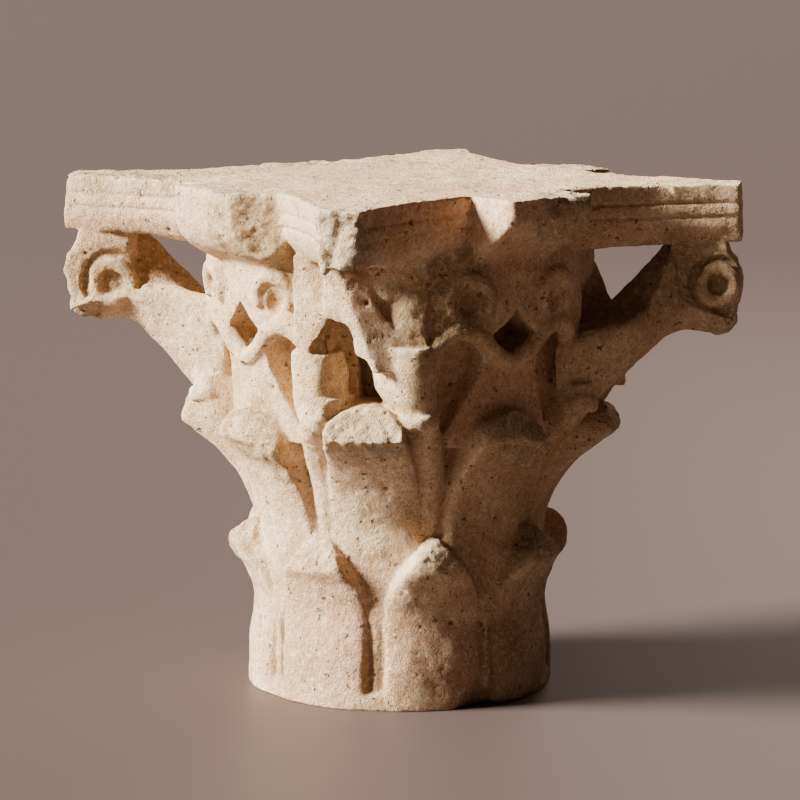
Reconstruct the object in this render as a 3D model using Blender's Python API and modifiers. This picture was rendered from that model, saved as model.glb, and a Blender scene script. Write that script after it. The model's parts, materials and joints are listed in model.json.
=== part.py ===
"""Weathered corinthian capital, carved from one block of limestone.

Metres, +Z up. The origin is the middle of the underside, and the four hollow
sides of the abacus face +X, -X, +Y and -Y. Azimuths are degrees from +X.
The corner at azimuth -45 has lost its volute.
"""

import math
from bisect import bisect_right

import bmesh
import bpy
from mathutils import Matrix, Vector

# Driving sizes of the block
HEIGHT = 0.450
BASE_RADIUS = 0.136
ABACUS_HEIGHT = 0.058
SIDE_REACH = 0.165
CORNER_REACH = 0.298
CORNER_CUT = 0.034
CORNER_FLARE = 0.005

# Mouldings round the abacus, from the top down
TOP_BAND = 0.015
FILLET = 0.009
GROOVE = 0.003
GROOVE_DEPTH = 0.003
HOLLOW_DEPTH = 0.020

# Two rows of leaves
LEAVES = 8
LOWER_LEAF_TOP = 0.153
LOWER_LEAF_HALF_WIDTH = 0.0425
LOWER_LEAF_LEAN = 0.017
UPPER_LEAF_TOP = 0.264
UPPER_LEAF_HALF_WIDTH = 0.041
UPPER_LEAF_LEAN = 0.061
CHANNEL_DEPTH = 0.015
BASE_RING = 0.015
CHIP_HEIGHT = 0.048
CHIP_DEPTH = 0.014

# Stalks, collars and the niches between them
STALK_RADIUS = 0.016
COLLAR_THICKNESS = 0.0052
PANEL_RADIUS = 0.168
PANEL_HALF_ANGLE = 33.0
NICHE_WIDTH = 0.046
NICHE_TOP = 0.330
DIAMOND_WIDTH = 0.054
DIAMOND_HEIGHT = 0.046
DIAMOND_CENTRE = 0.329
HOOD_RADIUS = 0.0085
HELIX_RADIUS = 0.021
HELIX_CENTRE = 0.360
HELIX_ANGLE = 15.5

# Volutes under the corners
VOLUTE_REACH = 0.303
VOLUTE_THICKNESS = 0.038
SCROLL_RECESS = 0.004
CORNERS = (45.0, 135.0, -135.0)
BROKEN_CORNER = -45.0

# Bosses in the middle of the sides
BOSS_REACH = 0.225
BOSS_HALF_WIDTH = 0.042

# Fineness of the faceted solid
VOXEL = 0.0029
FACETS = 8300
SPARE = 0.006
ARC_STEPS = 12
SIDE_STEPS = 12
STATIONS = 24
ROUNDING = 1

BELL_HEIGHT = HEIGHT - ABACUS_HEIGHT
STONE_COLOUR = (0.68, 0.56, 0.44, 1.0)


def follow(points, at):
    """Read a smooth curve through (place, value) points, level beyond its ends."""
    places = [place for place, value in points]
    values = [value for place, value in points]
    if at <= places[0]:
        return values[0]
    if at >= places[-1]:
        return values[-1]
    gaps = [b - a for a, b in zip(places, places[1:])]
    rises = [(b - a) / gap for a, b, gap in zip(values, values[1:], gaps)]
    slopes = [rises[0]]
    for before, after in zip(rises, rises[1:]):
        turns = before * after <= 0.0
        slopes.append(0.0 if turns else 2.0 * before * after / (before + after))
    slopes.append(rises[-1])
    i = bisect_right(places, at) - 1
    t = (at - places[i]) / gaps[i]
    start = (1 + 2 * t) * (1 - t) ** 2 * values[i] + t * (1 - t) ** 2 * gaps[i] * slopes[i]
    end = t * t * (3 - 2 * t) * values[i + 1] + t * t * (t - 1) * gaps[i] * slopes[i + 1]
    return start + end


def spread(low, high, count):
    """Evenly spaced values from low to high, both included."""
    return [low + (high - low) * i / (count - 1) for i in range(count)]


def polar(radius, azimuth, height):
    """Point at a radius, an azimuth in degrees and a height."""
    turn = math.radians(azimuth)
    return Vector((radius * math.cos(turn), radius * math.sin(turn), height))


def place(radius, azimuth, height):
    """Point whose radius and height are shares of a face's radius and the bell's height."""
    return polar(radius * PANEL_RADIUS, azimuth, height * BELL_HEIGHT)


def turned(azimuth):
    """Rotation about the upright axis, in degrees."""
    return Matrix.Rotation(math.radians(azimuth), 4, "Z")


def add_object(name, mesh, collection):
    """Put a finished bmesh into a collection as an object."""
    data = bpy.data.meshes.new(name)
    bmesh.ops.recalc_face_normals(mesh, faces=mesh.faces)
    mesh.to_mesh(data)
    mesh.free()
    made = bpy.data.objects.new(name, data)
    collection.objects.link(made)
    return made


def loft(rings):
    """Closed skin over rings of points, with a flat face on each end."""
    mesh = bmesh.new()
    loops = [[mesh.verts.new(point) for point in ring] for ring in rings]
    count = len(rings[0])
    for below, above in zip(loops, loops[1:]):
        for i in range(count):
            j = (i + 1) % count
            mesh.faces.new((below[i], below[j], above[j], above[i]))
    mesh.faces.new(loops[0][::-1])
    mesh.faces.new(loops[-1])
    bmesh.ops.recalc_face_normals(mesh, faces=mesh.faces)
    return mesh


def rounded(ring, times):
    """Closed ring with its corners cut off so many times."""
    for _ in range(times):
        softer = []
        for here, ahead in zip(ring, ring[1:] + ring[:1]):
            softer.append(here * 0.75 + ahead * 0.25)
            softer.append(here * 0.25 + ahead * 0.75)
        ring = softer
    return ring


def hide_cutter(cutter):
    """Show a cutter as wire and leave it out of renders."""
    cutter.hide_render = True
    cutter.display_type = "WIRE"


def subtract(piece, cutter):
    """Cut one object out of another."""
    cut = piece.modifiers.new(cutter.name, "BOOLEAN")
    cut.operation = "DIFFERENCE"
    cut.solver = "EXACT"
    cut.object = cutter


def break_off(mesh, point, azimuth, rise):
    """Cut away what lies beyond a flat break that faces an azimuth and a rise in degrees."""
    lift = math.radians(rise)
    facing = polar(math.cos(lift), azimuth, math.sin(lift))
    everything = mesh.verts[:] + mesh.edges[:] + mesh.faces[:]
    bmesh.ops.bisect_plane(
        mesh, geom=everything, plane_co=point, plane_no=facing, clear_outer=True
    )
    open_edges = [edge for edge in mesh.edges if edge.is_boundary]
    bmesh.ops.holes_fill(mesh, edges=open_edges)


# Bell


def bell_radius(height):
    """Radius of the plain bell behind the carving."""
    floor = BASE_RADIUS - CHANNEL_DEPTH
    swell = (
        (0.00, 0.000), (0.28, 0.001), (0.38, 0.003), (0.47, 0.006), (0.57, 0.010),
        (0.66, 0.015), (0.74, 0.019), (0.82, 0.023), (0.86, 0.028), (0.91, 0.043),
        (0.94, 0.048), (0.98, 0.050), (1.00, 0.048),
    )
    return floor + follow(swell, height / BELL_HEIGHT)


def make_bell(collection):
    """Turned bell with the ring that ends the channels at the foot."""
    heights = spread(HEIGHT - ABACUS_HEIGHT / 2, BASE_RING * 1.5, 30)
    outline = [(bell_radius(height), height) for height in heights]
    outline += [
        (BASE_RADIUS - 0.003, BASE_RING * 0.8),
        (BASE_RADIUS - 0.002, -SPARE),
        (0.0, -SPARE),
    ]
    outline.insert(0, (0.0, heights[0]))
    mesh = bmesh.new()
    points = [mesh.verts.new((radius, 0.0, height)) for radius, height in outline]
    for above, below in zip(points, points[1:]):
        mesh.edges.new((above, below))
    bell = add_object("bell", mesh, collection)
    screw = bell.modifiers.new("Turning", "SCREW")
    screw.steps = 64
    screw.render_steps = 64
    screw.use_merge_vertices = True
    screw.merge_threshold = 0.0001
    return bell


# Leaves


def leaf_ring(azimuth, height, reach, half_width, foot):
    """Section of a leaf: a rounded front with sloping flanks down to the bell."""
    ring = []
    for side in spread(-1.0, 1.0, ARC_STEPS + 1):
        across = side * half_width
        front = reach - 0.0022 * abs(side) ** 7
        ring.append(polar(front, azimuth + math.degrees(across / reach), height))
    behind = min(bell_radius(height), reach - 0.002)
    for side, depth in ((1, 0.0), (1, 0.012), (-1, 0.012), (-1, 0.0)):
        across = side * (half_width + foot)
        inner = behind - depth
        ring.append(polar(inner, azimuth + math.degrees(across / inner), height))
    return ring


def lower_leaf(azimuth, top=1.0, lean=1.0):
    """Plain pointed leaf of the lower row, its lip leaning out."""
    outline = (
        (0.00, 0.00), (0.26, -0.06), (0.44, -0.29), (0.50, -0.35), (0.57, -0.27),
        (0.64, -0.05), (0.72, 0.25), (0.77, 0.65), (0.82, 0.94), (0.88, 1.00),
        (0.94, 0.88), (0.97, 0.62), (1.00, 0.20),
    )
    rings = []
    for share in spread(0.0, 1.0, STATIONS):
        height = -SPARE + share * (LOWER_LEAF_TOP * top + SPARE)
        reach = BASE_RADIUS + LOWER_LEAF_LEAN * lean * follow(outline, share)
        arch = max(0.0, (share - 0.57) / 0.43)
        half_width = LOWER_LEAF_HALF_WIDTH * (1.0 - 0.96 * arch ** 1.8)
        rings.append(leaf_ring(azimuth, height, reach, half_width, 0.003))
    return loft(rings)


def upper_leaf(azimuth, top=1.0, lean=1.0):
    """Leaf of the upper row, rising behind the lower one to a broken tip."""
    outline = (
        (0.02, -0.130), (0.30, -0.140), (0.38, -0.16), (0.53, -0.13), (0.58, -0.11),
        (0.615, -0.066), (0.664, 0.016), (0.71, 0.115), (0.763, 0.28), (0.794, 0.39), (0.824, 0.52), (0.851, 0.69),
        (0.882, 0.86), (0.905, 0.99), (0.93, 0.96), (0.96, 0.90), (1.00, 0.78),
    )
    widths = (
        (0.02, 0.09), (0.26, 0.10), (0.40, 0.80), (0.50, 1.00), (0.70, 0.97), (0.80, 0.92),
        (0.90, 0.86), (0.94, 0.78),
        (0.975, 0.52), (1.00, 0.10),
    )
    rings = []
    for share in spread(0.05, 1.0, STATIONS):
        height = share * UPPER_LEAF_TOP * top
        reach = BASE_RADIUS + UPPER_LEAF_LEAN * lean * follow(outline, share)
        half_width = UPPER_LEAF_HALF_WIDTH * follow(widths, share)
        rings.append(leaf_ring(azimuth, height, reach, half_width, 0.002))
    return loft(rings)


def make_leaves(collection):
    """Both rows, each leaf with its own worn or broken tip."""
    made = {}
    step = 360.0 / LEAVES
    for number in range(LEAVES):
        upper_azimuth = number * step
        leaf = upper_leaf(upper_azimuth, *UPPER_WEAR[number % len(UPPER_WEAR)])
        for spot, facing, rise in UPPER_BREAKS.get(number, ()):
            break_off(leaf, place(*spot), facing, rise)
        add_object(f"upper_leaf_{number}", leaf, collection)
        lower_azimuth = (number + 0.5) * step
        leaf = lower_leaf(lower_azimuth, *LOWER_WEAR[number % len(LOWER_WEAR)])
        for spot, facing, rise in LOWER_BREAKS.get(number, ()):
            break_off(leaf, place(*spot), facing, rise)
        made[number] = add_object(f"lower_leaf_{number}", leaf, collection)
    return made


# Height and lean of each leaf against the whole form, counted from azimuth 0
UPPER_WEAR = (
    (1.00, 0.70), (0.97, 1.00), (0.99, 0.85), (0.98, 0.98),
    (1.00, 0.80), (0.98, 1.00), (0.98, 0.64), (1.035, 1.00),
)
LOWER_WEAR = (
    (0.99, 1.00), (0.97, 0.94), (1.00, 1.02), (0.98, 0.96),
    (1.00, 1.00), (0.98, 1.05), (1.00, 0.80), (0.98, 0.60),
)
# Flat breaks: a point on each (radius, azimuth, height), the way it faces and its rise
UPPER_BREAKS = {
    0: (((1.048, 4.0, 0.602), 24.0, 22.0),),
    6: (((0.976, -80.0, 0.592), -52.0, 22.0),),
    7: (((1.160, -44.0, 0.612), -42.0, 34.0),),
}
LOWER_BREAKS = {
    6: (((0.878, -66.0, 0.306), -72.0, 34.0),),
    0: (((0.893, 26.0, 0.357), 40.0, 30.0),),
}


def chip_foot(pieces, cutters):
    """Flake knocked off the foot, low on the right of a lower leaf."""
    rings = []
    for height, near in ((-2.0 * SPARE, -19.0), (0.3 * CHIP_HEIGHT, -13.0), (CHIP_HEIGHT, -4.0)):
        deep = BASE_RADIUS - CHIP_DEPTH * (1.0 - 0.6 * height / CHIP_HEIGHT)
        outer = BASE_RADIUS * 1.2
        corners = ((BASE_RADIUS + 0.001, near), (deep, 0.5 * (near + 6.0)), (deep + 0.002, 6.0))
        ring = [polar(radius, turn, height) for radius, turn in corners]
        ring += [polar(outer, 8.0, height), polar(outer, near, height)]
        rings.append(ring)
    cutter = add_object("foot_chip", loft(rings), cutters)
    hide_cutter(cutter)
    for piece in pieces:
        subtract(piece, cutter)


# Stalks


def stalk_centre(azimuth, corner, height):
    """Middle of a stalk, which leans towards its corner as it rises."""
    share = height / BELL_HEIGHT
    lean = follow(((0.36, 0.03), (0.50, 0.11), (0.58, 0.22), (0.65, 0.34), (0.75, 0.46)), share)
    radius = bell_radius(height) + follow(
        ((0.36, -0.006), (0.43, -0.002), (0.50, 0.004), (0.58, 0.018), (0.65, 0.034), (0.75, 0.034)),
        share,
    )
    return polar(radius, azimuth + lean * (corner - azimuth), height)


def tube(name, points, thicknesses, collection):
    """Round bar through points, each with its own radius, as a closed mesh."""
    curve = bpy.data.curves.new(name, "CURVE")
    curve.dimensions = "3D"
    curve.bevel_depth = 1.0
    curve.bevel_resolution = 3
    curve.use_fill_caps = True
    spline = curve.splines.new("POLY")
    spline.points.add(len(points) - 1)
    for knot, point, thickness in zip(spline.points, points, thicknesses):
        knot.co = (*point, 1.0)
        knot.radius = thickness
    bar = bpy.data.objects.new(name, curve)
    collection.objects.link(bar)
    graph = bpy.context.evaluated_depsgraph_get()
    data = bpy.data.meshes.new_from_object(bar.evaluated_get(graph))
    mesh = bmesh.new()
    mesh.from_mesh(data)
    bmesh.ops.remove_doubles(mesh, verts=mesh.verts, dist=0.00001)
    bpy.data.objects.remove(bar)
    bpy.data.curves.remove(curve)
    bpy.data.meshes.remove(data)
    return add_object(name, mesh, collection)


def make_stalk(number, azimuth, corner, collection):
    """Rounded stalk against the bell, with a collar at its top."""
    rings = []
    for height in spread(LOWER_LEAF_TOP * 0.8, UPPER_LEAF_TOP + 0.014, STATIONS):
        centre = stalk_centre(azimuth, corner, height)
        turn = math.degrees(math.atan2(centre.y, centre.x))
        radius = math.hypot(centre.x, centre.y)
        half = STALK_RADIUS * follow(
            ((0.36, 0.62), (0.43, 0.70), (0.50, 0.84), (0.58, 0.96), (0.64, 1.05), (0.70, 1.12)),
            height / BELL_HEIGHT,
        )
        ring = []
        for side in spread(-1.0, 1.0, ARC_STEPS + 1):
            front = radius + 0.6 * half * (1.0 - abs(side) ** 3.0)
            ring.append(polar(front, turn + math.degrees(side * half / front), height))
        behind = bell_radius(height) - 0.012
        for side in (1, -1):
            across = side * (half + 0.002)
            ring.append(polar(behind, turn + math.degrees(across / behind), height))
        rings.append(ring)
    add_object(f"stalk_{number}", loft(rings), collection)
    make_collar(number, azimuth, corner, collection)


# Stalks whose collar tilts otherwise than the rest, in degrees
COLLAR_TILTS = {"0_1": 4.0, "0_-1": 30.0}
COLLAR_TILT = 24.0


def make_collar(number, azimuth, corner, collection):
    """Flat band round the top of a stalk, tilted the way the stalk leans."""
    top = stalk_centre(azimuth, corner, UPPER_LEAF_TOP)
    outwards = math.degrees(math.atan2(top.y, top.x))
    lean = COLLAR_TILTS.get(number, COLLAR_TILT) * (1.0 if corner > azimuth else -1.0)
    tilt = turned(outwards) @ Matrix.Rotation(math.radians(-lean), 4, "X")
    rings = []
    for up in spread(-1.0, 1.0, 7):
        radius = STALK_RADIUS * 0.98 + 0.6 * COLLAR_THICKNESS * math.sqrt(1.0 - 0.97 * up * up)
        ring = []
        for turn in spread(0.0, 330.0, 12):
            round_about = math.radians(turn)
            spot = Vector((radius * math.cos(round_about), 1.25 * radius * math.sin(round_about), 0.0))
            spot.z = up * 1.3 * COLLAR_THICKNESS
            ring.append(top + tilt @ spot)
        rings.append(ring)
    add_object(f"collar_{number}", loft(rings), collection)


def adopt(name, collection):
    """Name the primitive just added and move it to a collection."""
    made = bpy.context.object
    made.name = name
    for holder in list(made.users_collection):
        holder.objects.unlink(made)
    collection.objects.link(made)
    return made


# Faces of the bell between the corners


def face_prism(name, outline, azimuth, collection):
    """Cutter: an outline of (across, height) points pushed in through a face."""
    rings = []
    for out in (BASE_RADIUS * 0.9, PANEL_RADIUS * 1.3):
        rings.append([turned(azimuth) @ Vector((out, across, height)) for across, height in outline])
    cutter = add_object(name, loft(rings), collection)
    hide_cutter(cutter)
    return cutter


def niche_outline(side):
    """Tall hollow between a stalk and the middle stem, with a round head."""
    stem_side = NICHE_TOP - 0.012
    foot = UPPER_LEAF_TOP - 0.018
    left = 0.5 * (DIAMOND_WIDTH + 0.002)
    right = left + NICHE_WIDTH
    points = (
        (right - 0.012, foot), (right, foot + 0.030), (right + 0.001, NICHE_TOP - 0.022),
        (right - 0.008, NICHE_TOP - 0.006), (0.5 * (left + right), NICHE_TOP),
        (left + 0.009, NICHE_TOP - 0.004), (left, stem_side),
        (left + 0.003, stem_side - 0.024), (left + 0.012, stem_side - 0.045),
        (left + 0.024, foot),
    )
    return [(side * across, height) for across, height in points]


def diamond_outline():
    """Deep recess between the two helices."""
    wide = 0.5 * DIAMOND_WIDTH
    tall = 0.5 * DIAMOND_HEIGHT
    return (
        (0.0, DIAMOND_CENTRE - tall), (wide, DIAMOND_CENTRE - tall * 0.15),
        (0.25 * wide, DIAMOND_CENTRE + tall * 0.45), (0.0, DIAMOND_CENTRE + tall),
        (-0.25 * wide, DIAMOND_CENTRE + tall * 0.45), (-wide, DIAMOND_CENTRE - tall * 0.15),
    )


def panel_radius(height):
    """Outer radius of a face of the bell, which swells towards the lip."""
    swell = ((0.60, -0.020), (0.70, -0.011), (0.80, -0.003), (0.90, 0.002), (0.97, 0.002), (1.03, 0.0))
    return PANEL_RADIUS + follow(swell, height / BELL_HEIGHT)


def make_panel(number, azimuth, bell, collection, cutters):
    """Raised face of the bell with its niches, middle stem and diamond recess."""
    rings = []
    for height in spread(UPPER_LEAF_TOP * 0.88, BELL_HEIGHT + 0.010, 14):
        outer = panel_radius(height)
        turns = spread(-PANEL_HALF_ANGLE, PANEL_HALF_ANGLE, 2 * ARC_STEPS + 1)
        ring = [polar(outer, azimuth + turn, height) for turn in turns]
        ring += [polar(BASE_RADIUS * 0.85, azimuth + turn, height) for turn in reversed(turns)]
        rings.append(ring)
    panel = add_object(f"panel_{number}", loft(rings), collection)
    outlines = (niche_outline(-1), niche_outline(1), diamond_outline())
    for which, outline in enumerate(outlines):
        cutter = face_prism(f"recess_{number}_{which}", outline, azimuth, cutters)
        subtract(panel, cutter)
    subtract(bell, cutter)
    for side in (-1, 1):
        eye = lump(f"eye_{number}_{side}", helix_eye(azimuth, side), (0.050, 0.055, 0.070), cutters)
        hide_cutter(eye)
        subtract(panel, eye)
        make_hood(f"hood_{number}_{side}", azimuth, side, collection)
        make_helix(f"helix_{number}_{side}", azimuth + side * HELIX_ANGLE, collection)


def helix_eye(azimuth, side):
    """Spot of the hollow under a helix's arch."""
    radius = panel_radius(HELIX_CENTRE) / PANEL_RADIUS
    return radius, azimuth + side * HELIX_ANGLE, HELIX_CENTRE / BELL_HEIGHT - 0.012


def make_hood(name, azimuth, side, collection):
    """Raised band over the head of a niche, from the collar to the foot of the diamond."""
    outline = niche_outline(side)
    route = outline[1:7]
    route.append((side * 0.28 * DIAMOND_WIDTH, DIAMOND_CENTRE - 0.31 * DIAMOND_HEIGHT - HOOD_RADIUS))
    route.append((0.0, DIAMOND_CENTRE - 0.5 * DIAMOND_HEIGHT - HOOD_RADIUS))
    places = list(range(len(route)))
    across = [(at, point[0]) for at, point in zip(places, route)]
    heights = [(at, point[1]) for at, point in zip(places, route)]
    points = []
    for at in spread(0.0, places[-1], 24):
        height = follow(heights, at) + HOOD_RADIUS * 0.5
        radius = panel_radius(height) - 0.002
        points.append(polar(radius, azimuth + math.degrees(follow(across, at) / radius), height))
    tube(name, points, [HOOD_RADIUS] * len(points), collection)


def make_helix(name, azimuth, collection):
    """Worn spiral at the head of a face: a low disc with one raised coil."""
    radius = panel_radius(HELIX_CENTRE)
    points = []
    for turn in spread(-125.0, 125.0, 22):
        across = 0.88 * HELIX_RADIUS * math.sin(math.radians(turn))
        height = HELIX_CENTRE + 0.82 * HELIX_RADIUS * math.cos(math.radians(turn))
        points.append(polar(radius + 0.001, azimuth + math.degrees(across / radius), height))
    thick = [HELIX_RADIUS * value for value in (0.20, 0.34, 0.20)]
    places = (0, 0.5 * (len(points) - 1), len(points) - 1)
    sizes = [follow(list(zip(places, thick)), at) for at in range(len(points))]
    tube(name, points, sizes, collection)


# Volutes


def keel(along):
    """Height of the underside of a corner arm at a distance from the axis."""
    rise = (
        (0.48, 0.590), (0.56, 0.632), (0.61, 0.668), (0.655, 0.703), (0.703, 0.740),
        (0.746, 0.771), (0.785, 0.798), (0.84, 0.811), (0.88, 0.806), (0.93, 0.803),
        (0.965, 0.810), (0.98, 0.824),
    )
    return BELL_HEIGHT * follow(rise, along / VOLUTE_REACH)


def arm_ring(azimuth, along, tops):
    """Section of a corner arm: a keel, two flanks and a sloping top."""
    share = along / VOLUTE_REACH
    half = VOLUTE_THICKNESS * follow(
        ((0.48, 1.75), (0.56, 1.52), (0.61, 1.32), (0.655, 1.10), (0.703, 0.88),
         (0.746, 0.70), (0.785, 0.58), (0.84, 0.50), (0.93, 0.48), (0.98, 0.36)),
        share,
    )
    flank = BELL_HEIGHT * follow(
        ((0.48, 0.015), (0.60, 0.020), (0.70, 0.034), (0.78, 0.052), (0.90, 0.058), (0.98, 0.040)),
        share,
    )
    low = keel(along)
    left, right = [BELL_HEIGHT * follow(top, share) for top in tops]
    root = min(1.0, max(0.0, (0.72 - share) / 0.24))
    lower = half * (1.0 - 0.36 * root)
    middle = half * (1.0 - 0.10 * root)
    section = (
        (0.0, low), (lower * 0.6, low + flank * 0.40), (lower, low + flank),
        (middle, 0.45 * (low + flank) + 0.55 * left), (half, left - 0.010), (half - 0.004, left),
        (half * 0.55, left - 0.003), (0.0, 0.5 * (left + right) - 0.008), (-half * 0.55, right - 0.003),
        (0.004 - half, right), (-half, right - 0.010), (-middle, 0.45 * (low + flank) + 0.55 * right),
        (-lower, low + flank), (-lower * 0.6, low + flank * 0.40),
    )
    ring = [turned(azimuth) @ Vector((along, across, height)) for across, height in section]
    return rounded(ring, ROUNDING)


# Top edges of an arm, as (share of the volute's reach, share of the bell's height)
HOLLOWED_TOP = (
    (0.48, 0.80), (0.58, 0.822), (0.65, 0.838), (0.70, 0.858), (0.745, 0.90),
    (0.78, 0.97), (0.795, 0.99), (0.82, 0.92), (0.86, 0.882), (0.98, 0.852),
)
LEDGED_TOP = (
    (0.48, 0.880), (0.60, 0.895), (0.66, 0.908), (0.74, 0.902), (0.76, 0.890),
    (0.87, 0.879), (0.98, 0.852),
)
STRAIGHT_TOP = (
    (0.48, 0.83), (0.58, 0.850), (0.64, 0.896), (0.73, 0.975), (0.77, 1.01),
    (0.80, 1.02), (0.83, 1.02), (0.90, 0.93), (0.98, 0.88),
)


def scroll_outline():
    """Outline of a scroll as (distance from the axis, height) points."""
    points = (
        (0.779, 0.857), (0.785, 0.898), (0.792, 0.964), (0.792, 1.03), (0.945, 1.03),
        (0.960, 0.995), (0.980, 0.974), (0.994, 0.954), (1.000, 0.923), (0.992, 0.885),
        (0.977, 0.862), (0.955, 0.852), (0.865, 0.857),
    )
    return [(along * VOLUTE_REACH, up * BELL_HEIGHT) for along, up in points]


# Where a scroll's eye sits and how wide its sinking is, other than the usual
USUAL_EYE = (0.905, 0.912, 0.082)
SCROLL_EYES = {"scroll_2_1": (0.848, 0.900, 0.098), "scroll_0_-1": (0.930, 0.922, 0.085)}


def make_scroll(name, azimuth, collection, cutters):
    """Block of a scroll with a sunk disc and a coil on each face."""
    outline = scroll_outline()
    middle_along = sum(point[0] for point in outline) / len(outline)
    middle_up = sum(point[1] for point in outline) / len(outline)
    half = 0.40 * VOLUTE_THICKNESS
    rings = []
    for across, shrink in ((-half, 0.93), (-half * 0.8, 1.0), (half * 0.8, 1.0), (half, 0.93)):
        ring = []
        for along, up in outline:
            kept_along = middle_along + (along - middle_along) * shrink
            kept_up = middle_up + (up - middle_up) * shrink
            ring.append(turned(azimuth) @ Vector((kept_along, across, kept_up)))
        rings.append(ring)
    scroll = add_object(name, loft(rings), collection)
    for side in (-1, 1):
        eye = SCROLL_EYES.get(f"{name}_{side}", USUAL_EYE)
        eye_along = VOLUTE_REACH * eye[0]
        eye_up = BELL_HEIGHT * eye[1]
        sunk_radius = VOLUTE_REACH * eye[2]
        sinking = turned(azimuth) @ Vector((eye_along, side * half, eye_up))
        bpy.ops.mesh.primitive_cylinder_add(
            vertices=32,
            radius=sunk_radius,
            depth=2.0 * SCROLL_RECESS,
            location=sinking,
            rotation=(math.radians(90.0), 0.0, math.radians(azimuth)),
        )
        cutter = adopt(f"sinking_{name}_{side}", cutters)
        hide_cutter(cutter)
        subtract(scroll, cutter)
        coil = turned(azimuth) @ Vector((eye_along, side * (half - 0.2 * SCROLL_RECESS), eye_up))
        bpy.ops.mesh.primitive_torus_add(
            major_segments=24,
            minor_segments=8,
            major_radius=sunk_radius * 0.56,
            minor_radius=sunk_radius * 0.20,
            location=coil,
            rotation=(math.radians(90.0), 0.0, math.radians(azimuth)),
        )
        adopt(f"coil_{name}_{side}", collection)
    return scroll


def make_volute(number, azimuth, tops, collection, cutters):
    """Two stalks' arms joined in one, from the bell to the scroll under the corner."""
    stations = spread(VOLUTE_REACH * 0.48, VOLUTE_REACH * 0.98, STATIONS)
    rings = [arm_ring(azimuth, along, tops) for along in stations]
    arm = add_object(f"arm_{number}", loft(rings), collection)
    sink_root(arm, azimuth, cutters)
    make_scroll(f"scroll_{number}", azimuth, collection, cutters)


def sink_root(arm, azimuth, cutters):
    """Hollow between the roots of the two arms, above the corner leaf."""
    low = UPPER_LEAF_TOP + 0.006
    outline = (
        (-0.010, low), (0.010, low), (0.013, low + 0.030),
        (0.0, low + 0.052), (-0.013, low + 0.030),
    )
    rings = []
    for out in (BASE_RADIUS, VOLUTE_REACH * 0.66):
        rings.append([turned(azimuth) @ Vector((out, across, up)) for across, up in outline])
    cutter = add_object(f"root_{arm.name}", loft(rings), cutters)
    hide_cutter(cutter)
    subtract(arm, cutter)


def corner_block(name, rows, collection):
    """Free form between heights, each row a ring of (radius, azimuth) in shares."""
    rings = []
    for height, ring in rows:
        rings.append(rounded([place(radius, turn, height) for radius, turn in ring], ROUNDING))
    return add_object(name, loft(rings), collection)


def corner_prism(outline, inner, outer):
    """An outline of (azimuth, height) shares pushed outwards from the axis."""
    rings = []
    for radius in (inner, outer):
        rings.append([place(radius, turn, height) for turn, height in outline])
    return loft(rings)


def lump(name, spot, radii, collection):
    """Rounded mass at a spot, with radii outwards, across and upwards."""
    bpy.ops.mesh.primitive_uv_sphere_add(segments=20, ring_count=12, radius=1.0, location=place(*spot))
    made = adopt(name, collection)
    made.scale = [radius * PANEL_RADIUS for radius in radii]
    made.rotation_euler = (0.0, 0.0, math.radians(spot[1]))
    bpy.context.view_layer.update()
    return made


# Deep pocket between the two calyxes of the broken corner, in azimuths and heights
POCKET = ((-50.2, 0.690), (-42.5, 0.690), (-42.5, 0.780), (-45.0, 0.815), (-49.0, 0.815), (-50.2, 0.780))


def cut_pocket(bell, cutters):
    """Sink the pocket into the bell."""
    cutter = add_object("pocket", corner_prism(POCKET, 0.68, 0.98), cutters)
    hide_cutter(cutter)
    subtract(bell, cutter)


def make_stumps(collection):
    """What is left at the broken corner: two calyxes, a neck and a sheared web under the slab."""
    corner_block("calyx_left", CALYX_LEFT, collection)
    corner_block("calyx_right", CALYX_RIGHT, collection)
    neck = corner_prism(NECK, 0.84, 1.060)
    break_off(neck, place(*NECK_BREAK[0]), *NECK_BREAK[1:])
    add_object("neck", neck, collection)
    web = corner_prism(WEB, 0.80, 1.35)
    for spot, facing, rise in WEB_BREAKS:
        break_off(web, place(*spot), facing, rise)
    add_object("web", web, collection)


CALYX_LEFT = (
    (0.640, ((0.84, -67.0), (0.98, -66.0), (1.00, -62.0), (0.98, -58.5), (0.84, -54.0))),
    (0.675, ((0.84, -69.0), (1.04, -67.0), (1.06, -62.0), (1.05, -57.0), (0.86, -51.0))),
    (0.710, ((0.84, -70.0), (1.05, -67.5), (1.09, -61.5), (1.085, -56.0), (0.86, -49.5))),
    (0.765, ((0.84, -71.0), (1.05, -68.0), (1.09, -61.5), (1.085, -56.0), (0.86, -49.0))),
    (0.806, ((0.84, -71.0), (1.05, -68.0), (1.08, -61.5), (1.075, -56.5), (0.86, -49.0))),
)
CALYX_RIGHT = (
    (0.640, ((0.84, -35.5), (0.97, -34.5), (1.00, -32.0), (1.00, -28.5), (0.97, -26.0), (0.84, -25.0))),
    (0.678, ((0.84, -38.0), (0.98, -37.0), (1.035, -34.0), (1.045, -29.5), (1.02, -25.0), (0.84, -24.0))),
    (0.700, ((0.84, -41.0), (0.98, -41.0), (1.085, -35.5), (1.10, -30.5), (1.06, -25.0), (0.84, -24.0))),
    (0.727, ((0.84, -44.0), (0.95, -43.8), (1.09, -36.5), (1.115, -31.0), (1.07, -25.5), (0.84, -24.0))),
    (0.778, ((0.84, -45.0), (0.94, -44.8), (1.085, -38.5), (1.12, -32.0), (1.07, -25.5), (0.84, -24.0))),
    (0.821, ((0.84, -45.0), (0.94, -44.8), (1.07, -39.5), (1.10, -32.0), (1.05, -26.5), (0.84, -25.0))),
)
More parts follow.
